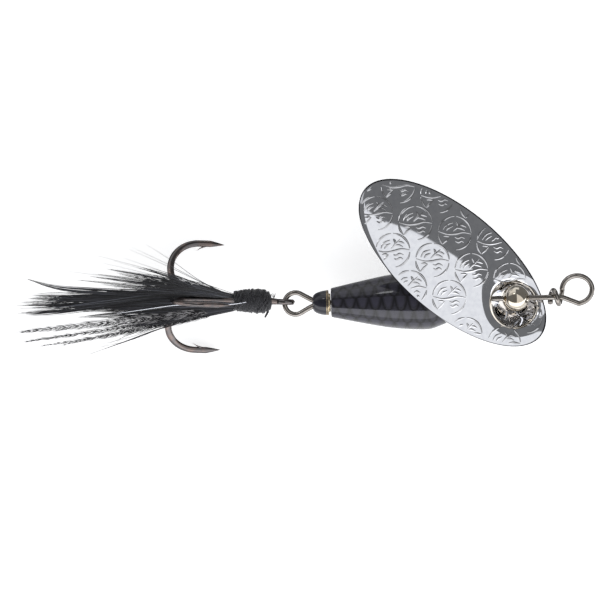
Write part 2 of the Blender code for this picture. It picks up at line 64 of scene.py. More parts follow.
MM = 0.001
JOINTS = {joint["name"]: joint for joint in frame["joints"]}
HOLE = Vector(JOINTS["blade_tilt"]["pos_m"])
LOOP = Vector(JOINTS["treble_swing"]["pos_m"])

# ---- sizes shared with the CAD (mm)
WIRE = 0.62
BORE = 0.36
BLADE_LENGTH = 27.5
BLADE_WIDTH = 12.4
BLADE_SHEET = 0.40
BLADE_HOLE = 2.0
BLADE_TAIL = -20.4
BLADE_SLEW = math.radians(41)
BLADE_ROLL = math.radians(17)
BLADE_CREST = 3.9
BLADE_CROWN = 0.45
SHEET_AT_HOLE = 0.90
POCKET = Vector((2.567, 0.920))
POCKET_RADIUS = 3.35
POCKET_FLOOR = 2.90
BEAD = 3.22
BEAD_AHEAD = 2.50
BODY_LENGTH = 18.6
NOSE_X = -1.08
BODY_TAIL_X = NOSE_X - BODY_LENGTH
RING_X = BODY_TAIL_X - 0.60
RING_LENGTH = 0.54
CAP_MOUTH_X = RING_X + 0.31
CAP_LENGTH = 1.88
CAP_END_X = CAP_MOUTH_X - CAP_LENGTH
WIRE_PAIR = WIRE / 2 + 0.04
LOOP_RADIUS = 1.30
LOOP_X = CAP_END_X - 3.40
EYE_AHEAD = 9.87
EYE_OFFSET = 0.86
EYE_OPEN_LONG = 2.98
EYE_OPEN_WIDE = 2.70
WRAP_START = 8.10
WRAP_RADIUS = 0.82
WRAP_PITCH = 1.25
WRAP_FROM = 141
WRAP_SWEEP = 405
HOOK_WIRE = 0.70
HOOK_GAP = 7.44
HOOK_BEND_CENTRE = 10.2
HOOK_POINT = 3.1
HOOK_ROLL = 4.6
HOOK_EYE_RADIUS = 0.90
SHANK_OFFSET = 0.73 / math.sqrt(3)
HEAD_FRONT = -1.68
HEAD_LENGTH = 4.45
TREBLE_YAW = math.radians(-3.2)
TREBLE_PITCH = math.radians(7.137)
TREBLE_TURN = Matrix.Rotation(TREBLE_YAW, 3, "Z") @ Matrix.Rotation(TREBLE_PITCH, 3, "Y")
BLADE_TURN = Matrix.Rotation(-BLADE_SLEW, 3, "Z")

# ---- sizes of the fine work (mm)
WIRE_STEP = 0.13
HOOK_STEP = 0.17
BLADE_FRONT = BLADE_LENGTH + BLADE_TAIL
BLADE_MIDDLE = BLADE_LENGTH / 2 + BLADE_TAIL
POCKET_SOFT = 0.90
RIB_WIDTH = 0.17
RIB_HEIGHT = 0.066
MARK_SIZE = 2.0
MARK_MARGIN = 0.32
NEEDLE_LENGTH = 1.75
FORGED_FLAT = 0.26
FORGED_DEEP = 0.20
SCALE_PITCH = 1.52
SCALE_ROWS = 12

# every uneven detail is drawn from this one seeded source, in order
chance = random.Random(11)
# the noise functions would otherwise start from the clock
noise.seed_set(11)


def from_shaft(p):
    """Place in the row frame of a point measured from the blade's hole."""
    return HOLE + Vector(p) * MM


def from_treble(p):
    """Place in the row frame of a point on the hanging treble."""
    return LOOP + TREBLE_TURN @ Vector(p) * MM


def from_blade(p):
    """Place in the row frame of a point on the slewed blade."""
    return HOLE + BLADE_TURN @ Vector(p) * MM


# ---- paths and swept rods
def spline(points, steps):
    """Smooth curve through the given points, ends included."""
    pts = [Vector(p) for p in points]
    ext = [2 * pts[0] - pts[1], *pts, 2 * pts[-1] - pts[-2]]
    out = []
    for a, b, c, d in zip(ext, ext[1:], ext[2:], ext[3:]):
        for i in range(steps):
            t = i / steps
            out.append(0.5 * (2 * b + (c - a) * t + (2 * a - 5 * b + 4 * c - d) * t ** 2
                              + (3 * b - a - 3 * c + d) * t ** 3))
    return out + [pts[-1]]


def arc(centre, radius_x, radius_y, start, end, steps):
    """Points on an oval in plan, from start to end degrees."""
    out = []
    for i in range(steps + 1):
        a = math.radians(start + (end - start) * i / steps)
        out.append(Vector((centre[0] + radius_x * math.cos(a), centre[1] + radius_y * math.sin(a), 0)))
    return out


def even(path, gap):
    """The same path with its points a steady distance apart."""
    out = [path[0]]
    left = gap
    for a, b in zip(path, path[1:]):
        length = (b - a).length
        done = 0.0
        while length - done > left:
            done += left
            out.append(a.lerp(b, done / length))
            left = gap
        left -= length - done
    if (out[-1] - path[-1]).length < gap * 0.4:
        out.pop()
    return out + [path[-1]]


def travel(path, side=None):
    """Each stop's point, side vector and up vector, carried along the path without twist."""
    if side is None:
        side = (path[1] - path[0]).normalized().orthogonal()
    stops = []
    for i, p in enumerate(path):
        ahead = (path[min(i + 1, len(path) - 1)] - path[max(i - 1, 0)]).normalized()
        side = (side - ahead * side.dot(ahead)).normalized()
        stops.append((p, side, ahead.cross(side)))
    return stops


def rod(stops, sides):
    """Unit rod standing on the origin, with a ring of points at every stop."""
    bm = bmesh.new()
    bmesh.ops.create_cone(bm, cap_ends=True, segments=sides, radius1=1, radius2=1, depth=1,
                          matrix=Matrix.Translation((0, 0, 0.5)))
    long = [e for e in bm.edges if abs(e.verts[0].co.z - e.verts[1].co.z) > 0.5]
    if stops > 2:
        bmesh.ops.subdivide_edges(bm, edges=long, cuts=stops - 2, use_grid_fill=True)
    return bm


def lay(verts, path, radii, squeeze=1.0, side=None):
    """Lay a unit rod's points along a path."""
    stops = travel(path, side)
    last = len(path) - 1
    for v in verts:
        i = round(v.co.z * last)
        p, across, up = stops[i]
        v.co = p + (across * v.co.x + up * (v.co.y * squeeze)) * radii[i]


def swept(path, radii, sides=16, squeeze=1.0, side=None):
    """A rod laid along a path, with one radius for all of it or one for each point."""
    bm = rod(len(path), sides)
    if not isinstance(radii, list):
        radii = [radii] * len(path)
    lay(bm.verts, path, radii, squeeze, side)
    return bm


def join(bm, other):
    """Add another bmesh's shape to this one."""
    mesh = bpy.data.meshes.new("joined")
    other.to_mesh(mesh)
    other.free()
    bm.from_mesh(mesh)
    bpy.data.meshes.remove(mesh)
    return bm


def turned(profile, x, segments=64):
    """Solid of revolution about the shaft, from (radius, distance along) points in a closed loop."""
    bm = bmesh.new()
    verts = [bm.verts.new(Vector((z, 0, r))) for r, z in profile]
    for a, b in zip(verts, verts[1:] + verts[:1]):
        bm.edges.new((a, b))
    bmesh.ops.spin(bm, geom=bm.verts[:] + bm.edges[:], cent=(0, 0, 0), axis=(1, 0, 0),
                   angle=2 * math.pi, steps=segments, use_merge=True)
    bmesh.ops.remove_doubles(bm, verts=bm.verts, dist=0.0002)
    bmesh.ops.recalc_face_normals(bm, faces=bm.faces)
    bmesh.ops.translate(bm, verts=bm.verts, vec=(x, 0, 0))
    return bm


# ---- finished pieces
def put(bm, where):
    """Move a shape in millimetres to its place in the row frame, in metres."""
    for v in bm.verts:
        v.co = where(v.co)
    return bm


def finished(name, bm, material, body, nodes=(), sharp=35):
    """Make the piece, give it its finish and put it on its body."""
    mesh = bpy.data.meshes.new(name)
    bm.to_mesh(mesh)
    bm.free()
    mesh.shade_smooth()
    mesh.set_sharp_from_angle(angle=math.radians(sharp))
    mesh.materials.append(material)
    piece = bpy.data.objects.new(name, mesh)
    bpy.context.scene.collection.objects.link(piece)
    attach(piece, body)
    if nodes:
        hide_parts(*nodes)
    return piece


def worked(bm, *modifiers):
    """The shape after modifiers, as a new bmesh. Each is (kind, settings)."""
    mesh = bpy.data.meshes.new("worked")
    bm.to_mesh(mesh)
    bm.free()
    obj = bpy.data.objects.new("worked", mesh)
    bpy.context.scene.collection.objects.link(obj)
    for kind, settings in modifiers:
        mod = obj.modifiers.new(kind.lower(), kind)
        for key, value in settings.items():
            setattr(mod, key, value)
    bpy.context.view_layer.update()
    deps = bpy.context.evaluated_depsgraph_get()
    done = bpy.data.meshes.new_from_object(obj.evaluated_get(deps))
    out = bmesh.new()
    out.from_mesh(done)
    bpy.data.objects.remove(obj)
    bpy.data.meshes.remove(mesh)
    bpy.data.meshes.remove(done)
    return out


def helper(bm):
    """A hidden object for a boolean to read. Call drop() on it afterwards."""
    mesh = bpy.data.meshes.new("helper")
    bm.to_mesh(mesh)
    bm.free()
    obj = bpy.data.objects.new("helper", mesh)
    bpy.context.scene.collection.objects.link(obj)
    return obj


def drop(obj):
    """Take a helper away again, with its mesh."""
    mesh = obj.data
    bpy.data.objects.remove(obj)
    bpy.data.meshes.remove(mesh)


# ---- node helpers
def add(tree, kind, sockets=None, **settings):
    """New node. A socket takes a number, a colour or another node's output."""
    node = tree.nodes.new("ShaderNode" + kind)
    for key, value in settings.items():
        setattr(node, key, value)
    for key, value in (sockets or {}).items():
        if isinstance(value, bpy.types.NodeSocket):
            tree.links.new(value, node.inputs[key])
        else:
            node.inputs[key].default_value = value
    return node


def sums(tree, operation, a, b=0.0, c=None):
    """One arithmetic step between node outputs or numbers."""
    sockets = {0: a, 1: b}
    if c is not None:
        sockets[2] = c
    return add(tree, "Math", sockets, operation=operation).outputs[0]


def ranged(tree, value, low, high, to_low=0.0, to_high=1.0):
    """Value turned from low..high to to_low..to_high, smoothly and clamped."""
    sockets = {"Value": value, "From Min": low, "From Max": high, "To Min": to_low, "To Max": to_high}
    return add(tree, "MapRange", sockets, interpolation_type="SMOOTHSTEP").outputs["Result"]


def blend(tree, share, a, b):
    """Colour a where share is 0, and b where it is 1."""
    a = (*a, 1.0) if isinstance(a, tuple) and len(a) == 3 else a
    b = (*b, 1.0) if isinstance(b, tuple) and len(b) == 3 else b
    return add(tree, "Mix", {0: share, 6: a, 7: b}, data_type="RGBA").outputs[2]


def cloud(tree, place, scale, detail=3.0, stretch=(1, 1, 1)):
    """Noise in the piece's own space. Scale is in features to a metre, about."""
    spread = add(tree, "Mapping", {"Vector": place, "Scale": stretch}).outputs[0]
    return add(tree, "TexNoise", {"Vector": spread, "Scale": scale, "Detail": detail}).outputs[0]


def bump(tree, height, depth, strength=1.0, under=None):
    """Fine relief, in metres deep, over any relief under it."""
    sockets = {"Height": height, "Distance": depth, "Strength": strength}
    if under is not None:
        sockets["Normal"] = under
    return add(tree, "Bump", sockets).outputs[0]


def new_material(name, **constants):
    """Material with its steady values set on the shader's own sockets."""
    material = bpy.data.materials.new(name)
    material.use_nodes = True
    tree = material.node_tree
    shader = tree.nodes["Principled BSDF"]
    for key, value in constants.items():
        shader.inputs[key.replace("_", " ")].default_value = value
    place = tree.nodes.new("ShaderNodeTexCoord").outputs["Object"]
    return material, tree, shader, place


def feed(tree, shader, **sockets):
    """Link patterns to the shader's sockets."""
    for key, value in sockets.items():
        tree.links.new(value, shader.inputs[key.replace("_", " ")])


# ---- materials
def drawn_wire():
    """Stainless wire: fine drawing lines along it, a warm haze and a few dull patches."""
    mat, tree, shader, place = new_material("drawn_stainless", Metallic=1.0)
    lines = cloud(tree, place, 9000, 2, (0.05, 1, 1))
    haze = cloud(tree, place, 700, 4)
    tint = blend(tree, ranged(tree, haze, 0.35, 0.7), (0.38, 0.355, 0.33), (0.25, 0.225, 0.20))
    feed(tree, shader, Base_Color=tint, Roughness=ranged(tree, haze, 0.3, 0.75, 0.07, 0.20),
         Normal=bump(tree, lines, 0.000004, 0.35))
    return mat


def plated():
    """Mirror-polished plating with a pale gold cast, slightly warmer where it has worn."""
    mat, tree, shader, place = new_material("champagne_plate", Metallic=1.0)
    wear = cloud(tree, place, 900, 5)
    fine = cloud(tree, place, 14000, 2)
    tint = blend(tree, ranged(tree, wear, 0.4, 0.75), (0.76, 0.70, 0.60), (0.66, 0.57, 0.45))
    feed(tree, shader, Base_Color=tint, Roughness=ranged(tree, wear, 0.3, 0.8, 0.02, 0.10),
         Normal=bump(tree, fine, 0.000002, 0.15))
    return mat


def silver_plate(lines):
    """Bright plate on pressed sheet, with slow press waves and hairlines.

    Lines gives the ribs a darker copy of the plate, painted shade for the creases of the pressed lines. The
    rolled edge has a dark band painted all round it, a painted reflection.
    """
    name = "stamped_lines_painted_shade" if lines else "bright_silver_plate"
    mat, tree, shader, place = new_material(name, Metallic=1.0)
    waves = cloud(tree, place, 260, 2)
    hair = cloud(tree, place, 5200, 3, (1, 0.06, 1))
    haze = cloud(tree, place, 1500, 5)
    if lines:
        # darker tint for the ribs: painted shade for their creases
        tint = blend(tree, ranged(tree, haze, 0.35, 0.7), (0.70, 0.70, 0.72), (0.55, 0.55, 0.56))
    else:
        tint = blend(tree, ranged(tree, haze, 0.35, 0.7), (0.86, 0.87, 0.90), (0.78, 0.79, 0.83))
    pressed = bump(tree, waves, 0.00012, 0.05)
    from_hole = add(tree, "Mapping", {"Vector": place, "Location": -HOLE}).outputs[0]
    flat = add(tree, "VectorRotate", {"Vector": from_hole, "Angle": BLADE_SLEW},
               rotation_type="Z_AXIS").outputs[0]
    flat = add(tree, "SeparateXYZ", {0: flat}).outputs
    s = sums(tree, "DIVIDE", sums(tree, "SUBTRACT", flat["X"], BLADE_MIDDLE * MM), BLADE_LENGTH / 2 * MM)
    w = sums(tree, "DIVIDE", flat["Y"], BLADE_WIDTH / 2 * MM)
    oval = sums(tree, "ADD", sums(tree, "MULTIPLY", s, s), sums(tree, "MULTIPLY", w, w))
    # painted reflection: a dark band all round the blade's edge, standing in for the dark reflection along
    # the sheet's edge
    tint = blend(tree, ranged(tree, oval, 0.972, 0.986), tint, (0.07, 0.07, 0.075))
    feed(tree, shader, Base_Color=tint, Roughness=ranged(tree, haze, 0.3, 0.75, 0.02, 0.05),
         Normal=bump(tree, hair, 0.000002, 0.12, pressed))
    return mat


def turned_brass():
    """Lathe-turned brass: fine tool rings and a brown tarnish in patches."""
    mat, tree, shader, place = new_material("turned_brass", Metallic=1.0)
    rings = cloud(tree, place, 6000, 2, (1, 0.03, 0.03))
    tarnish = cloud(tree, place, 1800, 4)
    tint = blend(tree, ranged(tree, tarnish, 0.35, 0.7), (0.60, 0.50, 0.34), (0.36, 0.28, 0.18))
    feed(tree, shader, Base_Color=tint, Roughness=ranged(tree, tarnish, 0.3, 0.75, 0.14, 0.34),
         Normal=bump(tree, rings, 0.000012, 0.5))
    return mat


def lacquer(scaled):
    """Thick clear coat over blue-black lacquer. Scaled adds rows of round-ended fish scales."""
    mat, tree, shader, place = new_material("scaled_lacquer" if scaled else "black_lacquer",
                                            Coat_Weight=1.0, Coat_Roughness=0.02, Coat_IOR=1.48,
                                            Specular_IOR_Level=0.15)
    cloudy = cloud(tree, place, 900, 4)
    specks = add(tree, "TexVoronoi", {"Vector": place, "Scale": 11000.0}).outputs["Distance"]
    glint = ranged(tree, specks, 0.22, 0.05)
    if scaled:
        centred = add(tree, "Mapping", {"Vector": place, "Location": -HOLE}).outputs[0]
        split = add(tree, "SeparateXYZ", {0: centred}).outputs
        along = sums(tree, "MULTIPLY", split["X"], 1 / (SCALE_PITCH * MM))
        turn = sums(tree, "ARCTAN2", sums(tree, "MULTIPLY", split["Y"], -1.0), split["Z"])
        rows = sums(tree, "MULTIPLY_ADD", turn, SCALE_ROWS / (2 * math.pi), 6.35)
        row = sums(tree, "FLOOR", rows)
        down = sums(tree, "FRACT", rows)
        shifted = sums(tree, "MULTIPLY_ADD", row, 0.5, along)
        aside = sums(tree, "ABSOLUTE", sums(tree, "SUBTRACT", sums(tree, "FRACT", shifted), 0.5))
        twice = sums(tree, "MULTIPLY", aside, 2.0)
        scallop = sums(tree, "SUBTRACT", 1.0, sums(tree, "POWER", twice, 2.6))
        slope = sums(tree, "MULTIPLY", sums(tree, "POWER", twice, 1.6), 5.2)
        steep = sums(tree, "SQRT", sums(tree, "MULTIPLY_ADD", slope, slope, 1.0))
        off = sums(tree, "ABSOLUTE", sums(tree, "SUBTRACT", down, scallop))
        from_line = sums(tree, "DIVIDE", off, steep)
        inside = ranged(tree, from_line, 0.035, 0.115)
        deep = ranged(tree, from_line, 0.05, 0.42)
        scale = blend(tree, deep, (0.020, 0.019, 0.027), (0.040, 0.038, 0.056))
        colour = blend(tree, inside, (0.007, 0.0065, 0.010), scale)
        relief = bump(tree, inside, 0.00004, 0.5)
        feed(tree, shader, Normal=relief)
    else:
        colour = blend(tree, cloudy, (0.009, 0.009, 0.015), (0.022, 0.022, 0.034))
        feed(tree, shader, Normal=bump(tree, cloudy, 0.00002, 0.2))
    lit = blend(tree, sums(tree, "MULTIPLY", glint, 0.35), colour, (0.10, 0.10, 0.13))
    ripple = bump(tree, cloud(tree, place, 500, 2), 0.00003, 0.06)
    feed(tree, shader, Base_Color=lit, Roughness=ranged(tree, cloudy, 0.3, 0.7, 0.30, 0.48),
         Coat_Normal=ripple)
    return mat


def black_nickel():
    """Dark bronze-black plating on hook wire, browner where it thins."""
    mat, tree, shader, place = new_material("black_nickel", Metallic=1.0)
    thin = cloud(tree, place, 1100, 5)
    drag = cloud(tree, place, 12000, 2, (0.15, 1, 1))
    tint = blend(tree, ranged(tree, thin, 0.38, 0.68), (0.15, 0.14, 0.14), (0.22, 0.175, 0.16))
    feed(tree, shader, Base_Color=tint, Roughness=ranged(tree, thin, 0.3, 0.75, 0.12, 0.27),
         Normal=bump(tree, drag, 0.000004, 0.3))
    return mat


def thread():
    """Coarse waxed thread, with its twist and a dusty top to the fibres."""
    mat, tree, shader, place = new_material("waxed_thread", Sheen_Weight=0.35, Sheen_Roughness=0.4,
                                            Specular_IOR_Level=0.4)
    ply = cloud(tree, place, 6500, 4, (1, 2.2, 1))
    dust = cloud(tree, place, 2400, 4)
    tint = blend(tree, ranged(tree, ply, 0.40, 0.68), (0.008, 0.008, 0.010), (0.062, 0.062, 0.070))
    tint = blend(tree, ranged(tree, dust, 0.60, 0.82), tint, (0.12, 0.12, 0.13))
    feed(tree, shader, Base_Color=tint, Roughness=ranged(tree, ply, 0.3, 0.7, 0.45, 0.72),
         Normal=bump(tree, ply, 0.00006, 0.7))
    return mat


def black_hair():
    """Black hair: each strand has its own tone, greyer towards the tip, with a cool gloss. The palest strands
    and the blue-grey streaks are partly the hair's own tone and partly painted highlight.
    """
    mat, tree, shader, place = new_material("black_hair", Sheen_Weight=0.10, Specular_IOR_Level=0.55)
    tone = add(tree, "Attribute", attribute_name="strand").outputs["Fac"]
    along = add(tree, "Attribute", attribute_name="along").outputs["Fac"]
    streak_and_painted_sheen = cloud(tree, place, 2600, 3, (0.12, 1, 1))
    # palest strand tones: partly the hair's own tone, partly painted highlight
    base = blend(tree, ranged(tree, tone, 0.55, 1.0), (0.007, 0.007, 0.010), (0.095, 0.10, 0.12))
    tip = blend(tree, ranged(tree, along, 0.5, 1.0, 0.0, 0.5), base, (0.045, 0.041, 0.040))
    # blue-grey streaks in the colour: partly the hair's own tone, partly painted highlight
    tint = blend(tree, ranged(tree, streak_and_painted_sheen, 0.52, 0.78, 0.0, 0.5), tip, (0.075, 0.08, 0.105))
    feed(tree, shader, Base_Color=tint, Roughness=ranged(tree, streak_and_painted_sheen, 0.3, 0.7, 0.24, 0.40))
    return mat


def barred():
    """Grizzly feather: black bars on pale grey, crossing the barbs."""
    mat, tree, shader, place = new_material("barred_feather", Sheen_Weight=0.2, Specular_IOR_Level=0.3)
    along = add(tree, "Attribute", attribute_name="along").outputs["Fac"]
    tone = add(tree, "Attribute", attribute_name="strand").outputs["Fac"]
    patch = cloud(tree, place, 1500, 3)
    turns = sums(tree, "MULTIPLY", along, 6.2832)
    beat = sums(tree, "SINE", sums(tree, "MULTIPLY_ADD", patch, 2.0, turns))
    pale = blend(tree, tone, (0.22, 0.215, 0.22), (0.62, 0.61, 0.62))
    tint = blend(tree, ranged(tree, beat, -0.35, 0.30), (0.012, 0.011, 0.013), pale)
    feed(tree, shader, Base_Color=tint, Roughness=ranged(tree, patch, 0.3, 0.7, 0.45, 0.7))
    return mat


def tinsel():
    """Silvery film, crinkled a little."""
    mat, tree, shader, place = new_material("silvery_tinsel", Metallic=0.6)
    cell = cloud(tree, place, 5000, 3)
    tint = blend(tree, cell, (0.62, 0.64, 0.70), (0.86, 0.87, 0.92))
    feed(tree, shader, Base_Color=tint, Roughness=ranged(tree, cell, 0.3, 0.7, 0.12, 0.34))
    return mat


STEEL = drawn_wire()
PLATE = plated()
SILVER = silver_plate(False)
STAMPED = silver_plate(True)
BRASS = turned_brass()
SCALES = lacquer(True)
LACQUER = lacquer(False)
NICKEL = black_nickel()
THREAD = thread()
HAIR = black_hair()
GRIZZLY = barred()
TINSEL = tinsel()


# ---- shaft wire
def shaft_path():
    """One wire: tail end tucked in the cap, rear loop, shaft, line-tie eye, locking turns."""
    inside = CAP_END_X + 0.45
    path = [Vector((inside + 0.36, WIRE_PAIR + 0.06, 0)), Vector((inside + 0.1, WIRE_PAIR, 0)),
            Vector((CAP_END_X, WIRE_PAIR, 0))]
    centre_x = LOOP_X + LOOP_RADIUS
    reach = CAP_END_X - centre_x
    lean = math.acos(LOOP_RADIUS / math.hypot(reach, WIRE_PAIR))
    leg = math.degrees(math.atan2(WIRE_PAIR, reach) + lean)
    path += arc((centre_x, 0), LOOP_RADIUS, LOOP_RADIUS, leg, 360 - leg, 40)
    path += [Vector((CAP_END_X, -WIRE_PAIR, 0)), Vector((inside + 0.1, -WIRE_PAIR, 0))]
    ease = RING_X - 0.1 - (inside + 0.1)
    for t in (0.25, 0.5, 0.75):
        path.append(Vector((inside + 0.1 + ease * t, -WIRE_PAIR * (1 + math.cos(math.pi * t)) / 2, 0)))
    path += [Vector((RING_X - 0.1, 0, 0)), Vector((0, 0, 0))]
    rx = (EYE_OPEN_LONG + WIRE) / 2
    ry = (EYE_OPEN_WIDE + WIRE) / 2
    path += spline([(WRAP_START - 0.65, 0, 0), (WRAP_START, -0.06, 0),
                    (EYE_AHEAD - rx * 0.5, EYE_OFFSET - ry * 0.75, 0)], 6)
    path += arc((EYE_AHEAD, EYE_OFFSET), rx, ry, -86, 172, 52)
    # the wire's end: under the shaft, once over it, under again, and out as a short stub
    for i in range(19):
        a = math.radians(WRAP_FROM + WRAP_SWEEP * i / 18)
        back = WRAP_PITCH * WRAP_SWEEP / 360 * i / 18
        path.append(Vector((WRAP_START - back, WRAP_RADIUS * math.sin(a), WRAP_RADIUS * math.cos(a))))
    end = path[-1]
    path += [end + Vector((0.0, -0.30, 0.06)), end + Vector((-0.02, -0.60, 0.24))]
    return path


wire_path = even(spline(shaft_path(), 3), WIRE_STEP)
wire = swept(wire_path, WIRE / 2, 16)
finished("shaft_wire_drawn", put(wire, from_shaft), STEEL, "shaft", ["shaft_wire"])


# ---- turned pieces
def rounded_washer(outer, length, edge):
    """Profile of a ring with its outer corners rounded off."""
    corner = [(outer - edge + edge * math.cos(a), length - edge + edge * math.sin(a))
              for a in (math.pi / 2, math.pi / 4, 0)]
    low = [(r, length - z) for r, z in reversed(corner)]
    return corner + low + [(BORE, 0), (BORE, length)]


bead_side = []
open_angle = math.asin((BORE + 0.06) / (BEAD / 2))
for i in range(41):
    a = open_angle + (math.pi - 2 * open_angle) * i / 40
    bead_side.append((BEAD / 2 * math.sin(a), BEAD / 2 * math.cos(a)))
bead_end = BEAD / 2 * math.cos(open_angle)
bead_side += [(BORE + 0.02, -bead_end + 0.01), (BORE, -bead_end + 0.06), (BORE, bead_end - 0.06),
              (BORE + 0.02, bead_end - 0.01)]
finished("front_bead_polished", put(turned(bead_side, BEAD_AHEAD, 72), from_shaft), PLATE, "bead",
         ["front_bead"])

washer = turned(rounded_washer(0.95, 0.24, 0.05), NOSE_X + 0.06, 48)
finished("bearing_washer_turned", put(washer, from_shaft), BRASS, "washer", ["bearing_washer"])

ring = turned(rounded_washer(1.12, RING_LENGTH, 0.10), RING_X, 56)
finished("spacer_ring_turned", put(ring, from_shaft), BRASS, "ring", ["spacer_ring"])

BODY_STATIONS = [(0.80, 0, 0), (1.934, -2.7565, 0), (2.96, -5.215, 0), (3.4055, -6.4815, 0),
                 (3.5, -7.45, 0), (3.4377, -9.1225, 0), (3.144, -11.7985, 0), (2.4498, -15.3665, 0),
                 (1.78, -18.42, 0)]
body_side = [(p.x, p.y) for p in spline(BODY_STATIONS, 7)]
body_side = [(BORE + 0.04, 0.0), (0.74, 0.0), (0.785, -0.02)] + body_side[1:]
body_side += [(1.765, 0.10 - BODY_LENGTH), (1.73, 0.04 - BODY_LENGTH), (1.66, -BODY_LENGTH),
              (BORE + 0.04, -BODY_LENGTH), (BORE, 0.04 - BODY_LENGTH), (BORE, -0.04)]
finished("body_lacquered", put(turned(body_side, NOSE_X, 96), from_shaft), SCALES, "weight",
         ["body"], 50)

CAP_SIDE = [(1.47, 1.88), (1.505, 1.85), (1.51, 1.80), (1.475, 1.35), (1.40, 0.95), (1.27, 0.55),
            (1.10, 0.24), (0.96, 0.09), (0.82, 0.0)]
cap_outer = [(p.x, p.y) for p in spline([(r, z, 0) for r, z in CAP_SIDE], 3)]
cap_profile = cap_outer + [(0.02, 0.0), (0.02, 0.45), (0.78, 0.45), (1.0, 0.7), (1.34, 1.88)]
slot = bmesh.new()
bmesh.ops.create_cone(slot, cap_ends=True, segments=24, radius1=BORE, radius2=BORE, depth=1.1,
                      matrix=Matrix.Rotation(math.pi / 2, 4, "Y"))
for v in slot.verts:
    v.co.y += WIRE_PAIR if v.co.y > 0 else -WIRE_PAIR
    v.co.x += CAP_END_X + 0.2
slot_cutter = helper(slot)
cap = worked(turned(cap_profile, CAP_END_X, 64),
             ("BOOLEAN", {"operation": "DIFFERENCE", "object": slot_cutter}))
drop(slot_cutter)
finished("tail_cap_lacquered", put(cap, from_shaft), LACQUER, "shaft", ["tail_cap"], 40)

lip_side = [(1.34, 0.0), (1.49, 0.0), (1.53, 0.03), (1.53, 0.09), (1.49, 0.13), (1.49, 0.17), (1.53, 0.20),
            (1.53, 0.28), (1.50, 0.31), (1.34, 0.31)]
lip = turned(lip_side, CAP_MOUTH_X - 0.30, 64)
finished("tail_cap_bare_lip", put(lip, from_shaft), BRASS, "shaft", (), 40)


# ---- blade
BOW_STATIONS = [(BLADE_TAIL, BLADE_CREST - 0.7, 0), (BLADE_TAIL * 0.66, BLADE_CREST, 0),
                (BLADE_TAIL * 0.31, BLADE_CREST - 0.85, 0), (0.0, SHEET_AT_HOLE, 0),
                (BLADE_FRONT * 0.64, -0.12, 0), (BLADE_FRONT, -0.6, 0)]
BOW = [(p.x, p.y) for p in spline(BOW_STATIONS, 40)]


def blade_height(s, w):
    """Height of the sheet's middle over the shaft axis: bowed, crowned, with a bowl pressed in."""
    height = BOW[-1][1]
    for (s0, z0), (s1, z1) in zip(BOW, BOW[1:]):
        if s <= s1:
            height = z0 + (z1 - z0) * (s - s0) / (s1 - s0)
            break
    sheet = height - BLADE_CROWN * (w / (BLADE_WIDTH / 2)) ** 2
    bowl = POCKET_FLOOR * ((math.hypot(s - POCKET.x, w - POCKET.y) / POCKET.length) ** 2 - 1)
    pressed = 0.5 * (sheet + bowl - math.sqrt((sheet - bowl) ** 2 + POCKET_SOFT))
    return pressed - w * math.tan(BLADE_ROLL)


def blade_normal(s, w):
    """Which way the sheet's show face looks at this point."""
    step = 0.04
    ds = (blade_height(s + step, w) - blade_height(s - step, w)) / (2 * step)
    dw = (blade_height(s, w + step) - blade_height(s, w - step)) / (2 * step)
    return Vector((-ds, -dw, 1)).normalized()


def on_blade(s, w, lift=0.0):
    """Point over the blade's show face."""
    n = blade_normal(s, w)
    return Vector((s, w, blade_height(s, w))) + n * (BLADE_SHEET / 2 + lift)


def blade_sheet():
    """A sheet of rings round the pocket: round over the pocket, then out to the oval edge."""
    inner, outer, around = 16, 22, 128
    bm = bmesh.new()
    bmesh.ops.create_grid(bm, x_segments=inner + outer, y_segments=around, size=0.5)
    for v in bm.verts:
        step = round((v.co.x + 0.5) * (inner + outer))
        a = 2 * math.pi * (v.co.y + 0.5)
        edge = Vector((BLADE_MIDDLE + BLADE_LENGTH / 2 * math.cos(a), BLADE_WIDTH / 2 * math.sin(a)))
        edge -= POCKET
        rim = min(POCKET_RADIUS * 1.06, edge.length * 0.97)
        if step <= inner:
            r = rim * step / inner
        else:
            r = rim + (edge.length - rim) * (step - inner) / outer
        s, w = POCKET + edge.normalized() * r
        v.co = (s, w, blade_height(s, w))
    bmesh.ops.remove_doubles(bm, verts=bm.verts, dist=0.002)
    bmesh.ops.recalc_face_normals(bm, faces=bm.faces)
    if sum(f.normal.z for f in bm.faces) < 0:
        bmesh.ops.reverse_faces(bm, faces=bm.faces)
    return bm


def rib(route, width, height):
    """A low rounded ridge pressed up along a route of (s, w) points on the show face."""
    bm = rod(len(route), 12)
    last = len(route) - 1
    for v in bm.verts:
        i = round(v.co.z * last)
        s, w = route[i]
        before = route[max(i - 1, 0)]
        after = route[min(i + 1, last)]
        ahead = Vector((after[0] - before[0], after[1] - before[1], 0))
        n = blade_normal(s, w)
        side = n.cross(ahead).normalized()
        fade = min(1.0, 0.45 + 1.2 * min(i, last - i) / last)
        up = height * fade * 0.5 * (1 + math.cos(math.pi * v.co.x)) if v.co.y > -0.01 else -0.03
        v.co = on_blade(s, w, up - 0.004) - side * v.co.x * width * fade
    return bm


